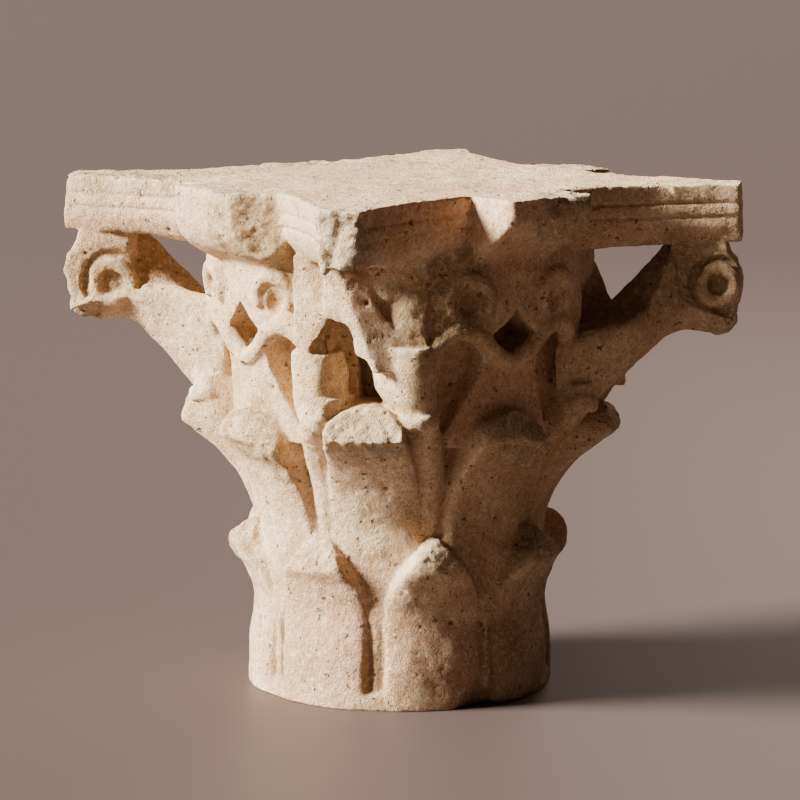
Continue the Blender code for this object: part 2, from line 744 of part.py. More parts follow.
NECK = (
    (-66.0, 1.015), (-66.0, 0.820), (-61.5, 0.806), (-59.5, 0.826), (-56.0, 0.872),
    (-52.5, 0.905), (-50.0, 0.935), (-49.0, 1.015),
)
WEB = (
    (-57.0, 1.015), (-56.5, 0.885), (-52.0, 0.876), (-49.4, 0.872), (-48.2, 0.846),
    (-47.6, 0.806), (-44.5, 0.796), (-42.5, 0.770), (-30.0, 0.772), (-26.3, 0.802),
    (-34.0, 0.846), (-38.0, 0.866), (-41.2, 0.890), (-43.4, 0.925), (-44.4, 0.970), (-44.0, 1.015),
)
# Flat breaks: a point on each, the way it faces and its rise
NECK_BREAK = ((1.060, -56.0, 0.880), -42.0, 14.0)
WEB_BREAKS = (
    ((1.095, -45.0, 0.888), -22.0, 19.0),
    ((1.065, -56.0, 0.900), -62.0, 0.0),
)
# Sheared side of the face beside the web, and what is left of a helix round the far corner
SCOOP = (1.085, -38.5, 0.902)
SCOOP_RADII = (0.105, 0.145, 0.145)
FAR_HELIX = (1.075, 69.0, 0.890)
FAR_HELIX_RADII = (0.10, 0.13, 0.12)


# Abacus


def side_curve(share):
    """Point (out, across) on a hollow side, from one cut corner to the next."""
    diagonal = CORNER_REACH / math.sqrt(2.0)
    half_cut = 0.5 * CORNER_CUT / math.sqrt(2.0)
    end_out = diagonal + half_cut
    end_across = diagonal - half_cut
    depth = end_out - SIDE_REACH
    radius = (end_across ** 2 + depth ** 2) / (2.0 * depth)
    across = end_across * share
    out = SIDE_REACH + radius - math.sqrt(radius ** 2 - across ** 2)
    return out, across


def abacus_ring(height, inset):
    """Outline of the abacus at a height, drawn in from the sides by an inset."""
    ring = []
    bottom = HEIGHT - ABACUS_HEIGHT
    sink = min(1.0, max(0.0, (HEIGHT - height) / ABACUS_HEIGHT))
    for quarter in range(4):
        for share in spread(-1.0, 1.0, SIDE_STEPS + 1):
            out, across = side_curve(share)
            near_corner = abs(share) ** 3
            lifted = height + (0.012 * near_corner if height <= bottom + 0.001 else 0.0)
            drawn_in = inset * (1.0 - 0.45 * near_corner)
            flare = (CORNER_FLARE * sink + 0.5 * drawn_in) * near_corner ** 2 / math.sqrt(2.0)
            flare_across = flare if share > 0 else -flare
            point = Vector((out - drawn_in + flare, across + flare_across, lifted))
            ring.append(turned(90.0 * quarter) @ point)
    return ring


def make_abacus(collection):
    """Hollow-sided slab with a band, two grooves and a hollow moulding."""
    levels = [(HEIGHT + SPARE, 0.0), (HEIGHT - TOP_BAND, 0.0)]
    level = HEIGHT - TOP_BAND
    levels.append((level - 0.0008, GROOVE_DEPTH))
    level -= GROOVE
    levels.append((level, GROOVE_DEPTH))
    levels.append((level - 0.0008, 0.0))
    level -= FILLET
    levels.append((level, 0.0005))
    levels.append((level - 0.0008, GROOVE_DEPTH + 0.0005))
    level -= GROOVE
    levels.append((level, GROOVE_DEPTH + 0.001))
    bottom = HEIGHT - ABACUS_HEIGHT
    for share in spread(0.0, 1.0, 5):
        height = level - 0.0010 - share * (level - bottom - 0.0010)
        inset = 0.0020 + HOLLOW_DEPTH * share ** 1.6
        levels.append((height, inset))
    rings = [abacus_ring(height, inset) for height, inset in reversed(levels)]
    return add_object("abacus", loft(rings), collection)


# How far a boss reaches out at each share of the slab's height
SLANTED = (
    (-0.10, 0.00), (0.00, 0.06), (0.15, 0.28), (0.30, 0.53), (0.45, 0.76),
    (0.58, 0.94), (0.66, 0.99), (0.80, 1.00),
)
BELLIED = (
    (-0.10, 0.10), (0.00, 0.36), (0.08, 0.58), (0.18, 0.77), (0.32, 0.92),
    (0.48, 0.99), (0.80, 1.00),
)


def boss(azimuth, left, right, reach, push):
    """Block in the middle of a side: an upright front over a swelling underside."""
    widen = ((-0.10, 0.80), (0.00, 0.88), (0.30, 0.96), (0.60, 1.00))
    bottom = HEIGHT - ABACUS_HEIGHT
    rings = []
    for share in spread(-0.10, 1.0 + SPARE / ABACUS_HEIGHT, 14):
        out = PANEL_RADIUS - 0.002 + (reach - PANEL_RADIUS) * follow(push, share)
        low = left * follow(widen, share)
        high = right * follow(widen, share)
        corner = 0.006
        outline = (
            (PANEL_RADIUS * 0.7, low), (out - corner, low), (out - corner * 0.3, low + corner * 0.3),
            (out, low + corner), (out, high - corner), (out - corner * 0.3, high - corner * 0.3),
            (out - corner, high), (PANEL_RADIUS * 0.7, high),
        )
        height = bottom + share * ABACUS_HEIGHT
        rings.append([turned(azimuth) @ Vector((x, y, height)) for x, y in outline])
    return loft(rings)


def make_bosses(collection):
    """The four bosses, worn or broken in their own ways."""
    half = BOSS_HALF_WIDTH
    east = boss(0.0, -1.12 * half, half, BOSS_REACH, SLANTED)
    break_off(east, polar(BOSS_REACH * 0.978, 2.0, HEIGHT), 8.0, 24.0)
    add_object("boss_east", east, collection)
    south = boss(-90.0, -1.15 * half, 1.72 * half, BOSS_REACH * 0.92, BELLIED)
    break_off(south, Vector((1.10 * half, -BOSS_REACH * 0.92, 0.955 * HEIGHT)), -32.0, -4.0)
    add_object("boss_south", south, collection)
    north = boss(90.0, -half, half, BOSS_REACH * 0.92, BELLIED)
    break_off(north, polar(BOSS_REACH * 0.871, 96.0, 0.955 * HEIGHT), 112.0, 6.0)
    add_object("boss_north", north, collection)
    west = boss(180.0, -half, half, BOSS_REACH * 0.84, SLANTED)
    break_off(west, polar(BOSS_REACH * 0.791, 180.0, 0.955 * HEIGHT), 180.0, -6.0)
    add_object("boss_west", west, collection)


def build_forms(forms, cutters):
    """All the overlapping forms of the block."""
    bell = make_bell(forms)
    lower_leaves = make_leaves(forms)
    chip_foot((bell, lower_leaves[7]), cutters)
    cut_pocket(bell, cutters)
    for number, corner in enumerate((BROKEN_CORNER,) + CORNERS):
        for side in (-1, 1):
            make_stalk(f"{number}_{side}", corner + side * 22.5, corner, forms)
    for number in range(4):
        make_panel(number, 90.0 * number, bell, forms, cutters)
    make_volute(0, CORNERS[0], (STRAIGHT_TOP, HOLLOWED_TOP), forms, cutters)
    make_volute(1, CORNERS[1], (STRAIGHT_TOP, HOLLOWED_TOP), forms, cutters)
    make_volute(2, CORNERS[2], (LEDGED_TOP, STRAIGHT_TOP), forms, cutters)
    make_stumps(forms)
    lump("far_helix", FAR_HELIX, FAR_HELIX_RADII, forms)
    scoop = lump("scoop", SCOOP, SCOOP_RADII, cutters)
    hide_cutter(scoop)
    subtract(forms.objects["panel_0"], scoop)
    make_bosses(forms)


# Whole block


def carve(pieces, name, collection):
    """Fuse overlapping pieces into one skin and thin it to the facets allowed."""
    graph = bpy.context.evaluated_depsgraph_get()
    joined = bmesh.new()
    for piece in pieces:
        data = bpy.data.meshes.new_from_object(piece.evaluated_get(graph))
        data.transform(piece.matrix_world)
        joined.from_mesh(data)
        bpy.data.meshes.remove(data)
    rough = add_object(name, joined, collection)
    skin = rough.modifiers.new("Fusing", "REMESH")
    skin.mode = "VOXEL"
    skin.voxel_size = VOXEL
    ease = rough.modifiers.new("Easing", "SMOOTH")
    ease.factor = 0.5
    ease.iterations = 2
    graph = bpy.context.evaluated_depsgraph_get()
    faces = rough.evaluated_get(graph).to_mesh().polygons
    triangles = sum(len(face.vertices) - 2 for face in faces)
    rough.evaluated_get(graph).to_mesh_clear()
    thin = rough.modifiers.new("Thinning", "DECIMATE")
    thin.ratio = min(1.0, FACETS / triangles)
    return rough


def cap(block, abacus):
    """Join the crisp mouldings of the abacus to the carving."""
    hide_cutter(abacus)
    join = block.modifiers.new("Abacus", "BOOLEAN")
    join.operation = "UNION"
    join.solver = "EXACT"
    join.object = abacus


def trim(block, cutters):
    """Cut the top and the underside of the block flat."""
    bpy.ops.mesh.primitive_cube_add(size=1.0, location=(0.0, 0.0, 0.5 * HEIGHT))
    slab = adopt("flat_ends", cutters)
    slab.dimensions = (1.0, 1.0, HEIGHT)
    hide_cutter(slab)
    bpy.context.view_layer.update()
    cut = block.modifiers.new("Flat ends", "BOOLEAN")
    cut.operation = "INTERSECT"
    cut.solver = "EXACT"
    cut.object = slab


def stone():
    """Pale limestone."""
    material = bpy.data.materials.new("limestone")
    material.use_nodes = True
    shader = material.node_tree.nodes["Principled BSDF"]
    shader.inputs["Base Color"].default_value = STONE_COLOUR
    shader.inputs["Roughness"].default_value = 0.88
    shader.inputs["Metallic"].default_value = 0.0
    return material


def clear_scene():
    """Remove whatever the file holds."""
    for item in list(bpy.data.objects):
        bpy.data.objects.remove(item)


def main():
    """Model the capital as one carved block."""
    clear_scene()
    finished = bpy.data.collections.new("corinthian_capital")
    forms = bpy.data.collections.new("forms")
    cutters = bpy.data.collections.new("cutters")
    for collection in (finished, forms, cutters):
        bpy.context.scene.collection.children.link(collection)
    build_forms(forms, cutters)
    block = carve(list(forms.objects), "capital", finished)
    for form in list(forms.objects):
        bpy.data.objects.remove(form)
    bpy.data.collections.remove(forms)
    cap(block, make_abacus(cutters))
    trim(block, cutters)
    block.data.materials.clear()
    block.data.materials.append(stone())


main()
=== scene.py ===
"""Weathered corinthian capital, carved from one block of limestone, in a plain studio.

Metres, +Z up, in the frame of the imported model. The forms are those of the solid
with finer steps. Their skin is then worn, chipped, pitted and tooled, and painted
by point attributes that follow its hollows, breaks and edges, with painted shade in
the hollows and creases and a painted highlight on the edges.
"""

import json
import math
from bisect import bisect_right
from itertools import product

import bmesh
import bpy
import numpy as np
from mathutils import Matrix, Vector
from mathutils.kdtree import KDTree

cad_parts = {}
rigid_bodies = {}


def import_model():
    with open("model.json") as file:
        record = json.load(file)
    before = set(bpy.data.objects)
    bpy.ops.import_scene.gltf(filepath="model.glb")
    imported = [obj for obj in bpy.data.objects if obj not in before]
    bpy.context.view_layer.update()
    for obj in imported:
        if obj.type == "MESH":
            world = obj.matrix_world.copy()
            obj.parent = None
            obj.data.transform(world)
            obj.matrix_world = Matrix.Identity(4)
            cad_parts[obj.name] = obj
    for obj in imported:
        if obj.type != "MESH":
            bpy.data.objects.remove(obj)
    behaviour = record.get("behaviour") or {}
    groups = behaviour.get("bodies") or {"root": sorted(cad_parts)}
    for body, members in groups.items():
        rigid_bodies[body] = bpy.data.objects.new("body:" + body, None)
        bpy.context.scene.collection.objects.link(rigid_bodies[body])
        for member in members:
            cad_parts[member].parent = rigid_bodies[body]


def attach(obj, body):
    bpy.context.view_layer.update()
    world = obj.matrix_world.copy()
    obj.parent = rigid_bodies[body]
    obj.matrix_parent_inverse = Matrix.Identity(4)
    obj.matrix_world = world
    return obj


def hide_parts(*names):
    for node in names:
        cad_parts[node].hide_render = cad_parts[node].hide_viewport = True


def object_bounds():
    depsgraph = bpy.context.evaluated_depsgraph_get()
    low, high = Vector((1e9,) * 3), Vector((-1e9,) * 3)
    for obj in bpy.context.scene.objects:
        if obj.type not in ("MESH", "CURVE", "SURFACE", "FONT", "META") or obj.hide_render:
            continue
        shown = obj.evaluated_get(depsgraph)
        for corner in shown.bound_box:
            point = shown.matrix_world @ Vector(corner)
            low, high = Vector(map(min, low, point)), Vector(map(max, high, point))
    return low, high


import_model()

cad_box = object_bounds()

# Driving sizes of the block
HEIGHT = 0.450
BASE_RADIUS = 0.136
ABACUS_HEIGHT = 0.058
SIDE_REACH = 0.165
CORNER_REACH = 0.298
CORNER_CUT = 0.034
CORNER_FLARE = 0.005

# Mouldings round the abacus, from the top down
TOP_BAND = 0.015
FILLET = 0.009
GROOVE = 0.003
GROOVE_DEPTH = 0.003
GROOVE_EDGE = 0.0008
HOLLOW_DEPTH = 0.020

# Two rows of leaves
LEAVES = 8
LOWER_LEAF_TOP = 0.153
LOWER_LEAF_HALF_WIDTH = 0.0425
LOWER_LEAF_LEAN = 0.017
UPPER_LEAF_TOP = 0.264
UPPER_LEAF_HALF_WIDTH = 0.041
UPPER_LEAF_LEAN = 0.061
CHANNEL_DEPTH = 0.015
BASE_RING = 0.015
CHIP_HEIGHT = 0.048
CHIP_DEPTH = 0.014

# Stalks, collars and the niches between them
STALK_RADIUS = 0.016
COLLAR_THICKNESS = 0.0052
PANEL_RADIUS = 0.168
PANEL_HALF_ANGLE = 33.0
NICHE_WIDTH = 0.046
NICHE_TOP = 0.330
DIAMOND_WIDTH = 0.054
DIAMOND_HEIGHT = 0.046
DIAMOND_CENTRE = 0.329
HOOD_RADIUS = 0.0085
HELIX_RADIUS = 0.021
HELIX_CENTRE = 0.360
HELIX_ANGLE = 15.5

# Volutes under the corners
VOLUTE_REACH = 0.303
VOLUTE_THICKNESS = 0.038
SCROLL_HALF = 0.40 * VOLUTE_THICKNESS
SCROLL_RECESS = 0.004
CORNERS = (45.0, 135.0, -135.0)
BROKEN_CORNER = -45.0

# Bosses in the middle of the sides
BOSS_REACH = 0.225
BOSS_HALF_WIDTH = 0.042

# Fineness of the forms and of the stone's skin
ARC_STEPS = 16
SIDE_STEPS = 40
STATIONS = 48
ROUNDING = 2
VOXEL = 0.0014
TRIANGLES = 190000

# How far a cutter goes past the block
SPARE = 0.006

# Wear in metres: waves and grain of hand-cut stone, rough breaks and worn skin, lost edges
WAVE = 0.0011
RIPPLE = 0.0007
GRAIN = 0.00025
BREAK_DEPTH = 0.0022
WORN_DEPTH = 0.0012
FURROW = 0.0004
EDGE_LOSS = 0.0004
CHIP = 0.0022
RIM_LOSS = 0.0026

# Steps of the noise's lattice, pits, and rounds of smoothing that find hollows
LATTICE = 32
PITS = 460
PIT_SEED = 7
BROAD_ROUNDS = 60
FINE_ROUNDS = 6
EDGE_ROUNDS = 10

BELL_HEIGHT = HEIGHT - ABACUS_HEIGHT


def follow(points, at):
    """Read a smooth curve through (place, value) points, level beyond its ends."""
    places = [place for place, value in points]
    values = [value for place, value in points]
    if at <= places[0]:
        return values[0]
    if at >= places[-1]:
        return values[-1]
    gaps = [b - a for a, b in zip(places, places[1:])]
    rises = [(b - a) / gap for a, b, gap in zip(values, values[1:], gaps)]
    slopes = [rises[0]]
    for before, after in zip(rises, rises[1:]):
        turns = before * after <= 0.0
        slopes.append(0.0 if turns else 2.0 * before * after / (before + after))
    slopes.append(rises[-1])
    i = bisect_right(places, at) - 1
    t = (at - places[i]) / gaps[i]
    start = (1 + 2 * t) * (1 - t) ** 2 * values[i] + t * (1 - t) ** 2 * gaps[i] * slopes[i]
    end = t * t * (3 - 2 * t) * values[i + 1] + t * t * (t - 1) * gaps[i] * slopes[i + 1]
    return start + end


def spread(low, high, count):
    """Evenly spaced values from low to high, both included."""
    return [low + (high - low) * i / (count - 1) for i in range(count)]


def polar(radius, azimuth, height):
    """Point at a radius, an azimuth in degrees and a height."""
    turn = math.radians(azimuth)
    return Vector((radius * math.cos(turn), radius * math.sin(turn), height))


def place(radius, azimuth, height):
    """Point whose radius and height are shares of a face's radius and the bell's height."""
    return polar(radius * PANEL_RADIUS, azimuth, height * BELL_HEIGHT)


def turned(azimuth):
    """Rotation about the upright axis, in degrees."""
    return Matrix.Rotation(math.radians(azimuth), 4, "Z")


def add_object(name, mesh, collection):
    """Put a finished bmesh into a collection as an object."""
    data = bpy.data.meshes.new(name)
    bmesh.ops.recalc_face_normals(mesh, faces=mesh.faces)
    mesh.to_mesh(data)
    mesh.free()
    made = bpy.data.objects.new(name, data)
    collection.objects.link(made)
    return made


def loft(rings):
    """Closed skin over rings of points, with a flat face on each end."""
    mesh = bmesh.new()
    loops = [[mesh.verts.new(point) for point in ring] for ring in rings]
    count = len(rings[0])
    for below, above in zip(loops, loops[1:]):
        for i in range(count):
            j = (i + 1) % count
            mesh.faces.new((below[i], below[j], above[j], above[i]))
    mesh.faces.new(loops[0][::-1])
    mesh.faces.new(loops[-1])
    bmesh.ops.recalc_face_normals(mesh, faces=mesh.faces)
    return mesh


def rounded(ring, times):
    """Closed ring with its corners cut off so many times."""
    for _ in range(times):
        softer = []
        for here, ahead in zip(ring, ring[1:] + ring[:1]):
            softer.append(here * 0.75 + ahead * 0.25)
            softer.append(here * 0.25 + ahead * 0.75)
        ring = softer
    return ring


def hide_cutter(cutter):
    """Show a cutter as wire and leave it out of renders."""
    cutter.hide_render = True
    cutter.display_type = "WIRE"
    return cutter


def add_cutter(name, mesh, collection):
    """Put a finished bmesh into a collection as a cutter."""
    return hide_cutter(add_object(name, mesh, collection))


def standing(outline, azimuth, out):
    """Ring of (across, height) points that stands at a distance out along an azimuth."""
    return [turned(azimuth) @ Vector((out, across, height)) for across, height in outline]


def subtract(piece, cutter):
    """Cut one object out of another."""
    cut = piece.modifiers.new(cutter.name, "BOOLEAN")
    cut.operation = "DIFFERENCE"
    cut.solver = "EXACT"
    cut.object = cutter


def break_off(mesh, point, azimuth, rise):
    """Cut away what lies beyond a flat break that faces an azimuth and a rise in degrees."""
    lift = math.radians(rise)
    facing = polar(math.cos(lift), azimuth, math.sin(lift))
    everything = mesh.verts[:] + mesh.edges[:] + mesh.faces[:]
    bmesh.ops.bisect_plane(
        mesh, geom=everything, plane_co=point, plane_no=facing, clear_outer=True
    )
    open_edges = [edge for edge in mesh.edges if edge.is_boundary]
    bmesh.ops.holes_fill(mesh, edges=open_edges)


def break_all(mesh, breaks):
    """Make several flat breaks, each a point in shares, the way it faces and its rise."""
    for spot, facing, rise in breaks:
        break_off(mesh, place(*spot), facing, rise)


# Bell


def bell_radius(height):
    """Radius of the plain bell behind the carving."""
    floor = BASE_RADIUS - CHANNEL_DEPTH
    swell = (
        (0.00, 0.000), (0.28, 0.001), (0.38, 0.003), (0.47, 0.006), (0.57, 0.010),
        (0.66, 0.015), (0.74, 0.019), (0.82, 0.023), (0.86, 0.028), (0.91, 0.043),
        (0.94, 0.048), (0.98, 0.050), (1.00, 0.048),
    )
    return floor + follow(swell, height / BELL_HEIGHT)


def make_bell(collection):
    """Turned bell with the ring that ends the channels at the foot."""
    heights = spread(HEIGHT - ABACUS_HEIGHT / 2, BASE_RING * 1.5, 30)
    outline = [(bell_radius(height), height) for height in heights]
    outline += [
        (BASE_RADIUS - 0.003, BASE_RING * 0.8),
        (BASE_RADIUS - 0.002, 0.0),
        (0.0, 0.0),
    ]
    outline.insert(0, (0.0, heights[0]))
    mesh = bmesh.new()
    points = [mesh.verts.new((radius, 0.0, height)) for radius, height in outline]
    for above, below in zip(points, points[1:]):
        mesh.edges.new((above, below))
    bell = add_object("bell", mesh, collection)
    screw = bell.modifiers.new("Turning", "SCREW")
    screw.steps = 64
    screw.render_steps = 64
    screw.use_merge_vertices = True
    screw.merge_threshold = 0.0001
    return bell


# Leaves


def leaf_ring(azimuth, height, reach, half_width, foot):
    """Section of a leaf: a rounded front with sloping flanks down to the bell."""
    ring = []
    for side in spread(-1.0, 1.0, ARC_STEPS + 1):
        across = side * half_width
        front = reach - 0.0022 * abs(side) ** 7
        ring.append(polar(front, azimuth + math.degrees(across / reach), height))
    behind = min(bell_radius(height), reach - 0.002)
    for side, depth in ((1, 0.0), (1, 0.012), (-1, 0.012), (-1, 0.0)):
        across = side * (half_width + foot)
        inner = behind - depth
        ring.append(polar(inner, azimuth + math.degrees(across / inner), height))
    return ring


def lower_leaf(azimuth, top=1.0, lean=1.0):
    """Plain pointed leaf of the lower row, its lip leaning out."""
    outline = (
        (0.00, 0.00), (0.26, -0.06), (0.44, -0.29), (0.50, -0.35), (0.57, -0.27),
        (0.64, -0.05), (0.72, 0.25), (0.77, 0.65), (0.82, 0.94), (0.88, 1.00),
        (0.94, 0.88), (0.97, 0.62), (1.00, 0.20),
    )
    rings = []
    for share in spread(0.0, 1.0, STATIONS):
        height = share * (LOWER_LEAF_TOP * top)
        reach = BASE_RADIUS + LOWER_LEAF_LEAN * lean * follow(outline, share)
        arch = max(0.0, (share - 0.57) / 0.43)
        half_width = LOWER_LEAF_HALF_WIDTH * (1.0 - 0.96 * arch ** 1.8)
        rings.append(leaf_ring(azimuth, height, reach, half_width, 0.003))
    return loft(rings)


def upper_leaf(azimuth, top=1.0, lean=1.0):
    """Leaf of the upper row, rising behind the lower one to a broken tip."""
    outline = (
        (0.02, -0.130), (0.30, -0.140), (0.38, -0.16), (0.53, -0.13), (0.58, -0.11),
        (0.615, -0.066), (0.664, 0.016), (0.71, 0.115), (0.763, 0.28), (0.794, 0.39),
        (0.824, 0.52), (0.851, 0.69), (0.882, 0.86), (0.905, 0.99), (0.93, 0.96),
        (0.96, 0.90), (1.00, 0.78),
    )
    widths = (
        (0.02, 0.09), (0.26, 0.10), (0.40, 0.80), (0.50, 1.00), (0.70, 0.97), (0.80, 0.92),
        (0.90, 0.86), (0.94, 0.78), (0.975, 0.52), (1.00, 0.10),
    )
    rings = []
    for share in spread(0.05, 1.0, STATIONS):
        height = share * UPPER_LEAF_TOP * top
        reach = BASE_RADIUS + UPPER_LEAF_LEAN * lean * follow(outline, share)
        half_width = UPPER_LEAF_HALF_WIDTH * follow(widths, share)
        rings.append(leaf_ring(azimuth, height, reach, half_width, 0.002))
    return loft(rings)


def make_leaves(collection):
    """Both rows, each leaf with its own worn or broken tip."""
    made = {}
    step = 360.0 / LEAVES
    for number in range(LEAVES):
        upper_azimuth = number * step
        leaf = upper_leaf(upper_azimuth, *UPPER_WEAR[number % len(UPPER_WEAR)])
        break_all(leaf, UPPER_BREAKS.get(number, ()))
        add_object(f"upper_leaf_{number}", leaf, collection)
        lower_azimuth = (number + 0.5) * step
        leaf = lower_leaf(lower_azimuth, *LOWER_WEAR[number % len(LOWER_WEAR)])
        break_all(leaf, LOWER_BREAKS.get(number, ()))
        made[number] = add_object(f"lower_leaf_{number}", leaf, collection)
    return made


# Height and lean of each leaf against the whole form, counted from azimuth 0
UPPER_WEAR = (
    (1.00, 0.70), (0.97, 1.00), (0.99, 0.85), (0.98, 0.98),
    (1.00, 0.80), (0.98, 1.00), (0.98, 0.64), (1.035, 1.00),
)
LOWER_WEAR = (
    (0.99, 1.00), (0.97, 0.94), (1.00, 1.02), (0.98, 0.96),
    (1.00, 1.00), (0.98, 1.05), (1.00, 0.80), (0.98, 0.60),
)
# Flat breaks: a point on each (radius, azimuth, height), the way it faces and its rise
UPPER_BREAKS = {
    0: (((1.048, 4.0, 0.602), 24.0, 22.0),),
    6: (((0.976, -80.0, 0.592), -52.0, 22.0),),
    7: (((1.160, -44.0, 0.612), -44.0, 31.0),),
}
LOWER_BREAKS = {
    6: (((0.878, -66.0, 0.306), -72.0, 34.0),),
    0: (((0.893, 26.0, 0.357), 40.0, 30.0),),
}


def chip_foot(pieces, cutters):
    """Flake knocked off the foot, low on the right of a lower leaf."""
    rings = []
    for height, near in ((-2.0 * SPARE, -19.0), (0.3 * CHIP_HEIGHT, -13.0), (CHIP_HEIGHT, -4.0)):
        deep = BASE_RADIUS - CHIP_DEPTH * (1.0 - 0.6 * height / CHIP_HEIGHT)
        outer = BASE_RADIUS * 1.2
        corners = ((BASE_RADIUS + 0.001, near), (deep, 0.5 * (near + 6.0)), (deep + 0.002, 6.0))
        ring = [polar(radius, turn, height) for radius, turn in corners]
        ring += [polar(outer, 8.0, height), polar(outer, near, height)]
        rings.append(ring)
    cutter = add_cutter("foot_chip", loft(rings), cutters)
    for piece in pieces:
        subtract(piece, cutter)


# Stalks


def stalk_centre(azimuth, corner, height):
    """Middle of a stalk, which leans towards its corner as it rises."""
    share = height / BELL_HEIGHT
    lean = follow(((0.36, 0.03), (0.50, 0.11), (0.58, 0.22), (0.65, 0.34), (0.75, 0.46)), share)
    radius = bell_radius(height) + follow(
        ((0.36, -0.006), (0.43, -0.002), (0.50, 0.004), (0.58, 0.018), (0.65, 0.034), (0.75, 0.034)),
        share,
    )
    return polar(radius, azimuth + lean * (corner - azimuth), height)


def tube(name, points, thicknesses, collection):
    """Round bar through points, each with its own radius, as a closed mesh."""
    curve = bpy.data.curves.new(name, "CURVE")
    curve.dimensions = "3D"
    curve.bevel_depth = 1.0
    curve.bevel_resolution = 3
    curve.use_fill_caps = True
    spline = curve.splines.new("POLY")
    spline.points.add(len(points) - 1)
    for knot, point, thickness in zip(spline.points, points, thicknesses):
        knot.co = (*point, 1.0)
        knot.radius = thickness
    bar = bpy.data.objects.new(name, curve)
    collection.objects.link(bar)
    graph = bpy.context.evaluated_depsgraph_get()
    data = bpy.data.meshes.new_from_object(bar.evaluated_get(graph))
    mesh = bmesh.new()
    mesh.from_mesh(data)
    bmesh.ops.remove_doubles(mesh, verts=mesh.verts, dist=0.00001)
    bpy.data.objects.remove(bar)
    bpy.data.curves.remove(curve)
    bpy.data.meshes.remove(data)
    return add_object(name, mesh, collection)


def make_stalk(number, azimuth, corner, collection):
    """Rounded stalk against the bell, with a collar at its top."""
    rings = []
    for height in spread(LOWER_LEAF_TOP * 0.8, UPPER_LEAF_TOP + 0.014, STATIONS):
        centre = stalk_centre(azimuth, corner, height)
        turn = math.degrees(math.atan2(centre.y, centre.x))
        radius = math.hypot(centre.x, centre.y)
        half = STALK_RADIUS * follow(
            ((0.36, 0.62), (0.43, 0.70), (0.50, 0.84), (0.58, 0.96), (0.64, 1.05), (0.70, 1.12)),
            height / BELL_HEIGHT,
        )
        ring = []
        for side in spread(-1.0, 1.0, ARC_STEPS + 1):
            front = radius + 0.6 * half * (1.0 - abs(side) ** 3.0)
            ring.append(polar(front, turn + math.degrees(side * half / front), height))
        behind = bell_radius(height) - 0.012
        for side in (1, -1):
            across = side * (half + 0.002)
            ring.append(polar(behind, turn + math.degrees(across / behind), height))
        rings.append(ring)
    add_object(f"stalk_{number}", loft(rings), collection)
    make_collar(number, azimuth, corner, collection)


# Stalks whose collar tilts otherwise than the rest, in degrees
COLLAR_TILTS = {"0_1": 4.0, "0_-1": 26.0}
COLLAR_TILT = 14.0


def make_collar(number, azimuth, corner, collection):
    """Flat band round the top of a stalk, tilted the way the stalk leans."""
    top = stalk_centre(azimuth, corner, UPPER_LEAF_TOP - COLLAR_THICKNESS)
    outwards = math.degrees(math.atan2(top.y, top.x))
    lean = COLLAR_TILTS.get(number, COLLAR_TILT) * (1.0 if corner > azimuth else -1.0)
    tilt = turned(outwards) @ Matrix.Rotation(math.radians(-lean), 4, "X")
    rings = []
    for up in spread(-1.0, 1.0, 7):
        radius = STALK_RADIUS * 0.90 + 0.6 * COLLAR_THICKNESS * math.sqrt(1.0 - 0.97 * up * up)
        ring = []
        for turn in spread(0.0, 330.0, 12):
            round_about = math.radians(turn)
            spot = Vector((radius * math.cos(round_about), 1.10 * radius * math.sin(round_about), 0.0))
            spot.z = up * 1.3 * COLLAR_THICKNESS
            ring.append(top + tilt @ spot)
        rings.append(ring)
    add_object(f"collar_{number}", loft(rings), collection)


def adopt(name, collection):
    """Name the primitive just added and move it to a collection."""
    made = bpy.context.object
    made.name = name
    for holder in list(made.users_collection):
        holder.objects.unlink(made)
    collection.objects.link(made)
    return made


# Faces of the bell between the corners


def push_in(name, outline, azimuth, reach, collection):
    """Cutter: an outline of (across, height) points between two distances from the axis."""
    rings = [standing(outline, azimuth, out) for out in reach]
    return add_cutter(name, loft(rings), collection)


# How deep the niches and the diamond go, as shares of the face's radius
NICHE_FLOOR = 0.79
DIAMOND_FLOOR = 0.74

# Radii of the hollow in a helix outwards, across and upwards, as shares of the face's radius
EYE_RADII = (0.050, 0.055, 0.070)


def niche_outline(side):
    """Tall hollow between a stalk and the middle stem, with a round head."""
    stem_side = NICHE_TOP - 0.012
    foot = UPPER_LEAF_TOP - 0.018
    left = 0.5 * (DIAMOND_WIDTH + 0.002)
    right = left + NICHE_WIDTH
    points = (
        (right - 0.012, foot), (right, foot + 0.030), (right + 0.001, NICHE_TOP - 0.022),
        (right - 0.008, NICHE_TOP - 0.006), (0.5 * (left + right), NICHE_TOP),
        (left + 0.009, NICHE_TOP - 0.004), (left, stem_side),
        (left + 0.003, stem_side - 0.024), (left + 0.012, stem_side - 0.045),
        (left + 0.024, foot),
    )
    return [(side * across, height) for across, height in points]


def diamond_outline():
    """Deep recess between the two helices."""
    wide = 0.5 * DIAMOND_WIDTH
    tall = 0.5 * DIAMOND_HEIGHT
    return (
        (0.0, DIAMOND_CENTRE - tall), (wide, DIAMOND_CENTRE - tall * 0.15),
        (0.46 * wide, DIAMOND_CENTRE + tall * 0.42), (0.05 * wide, DIAMOND_CENTRE + tall),
        (-0.38 * wide, DIAMOND_CENTRE + tall * 0.42), (-wide, DIAMOND_CENTRE - tall * 0.15),
    )


def panel_radius(height):
    """Outer radius of a face of the bell, which swells towards the lip."""
    swell = ((0.60, -0.020), (0.70, -0.011), (0.80, -0.003), (0.90, 0.002), (0.97, 0.002), (1.03, 0.0))
    return PANEL_RADIUS + follow(swell, height / BELL_HEIGHT)


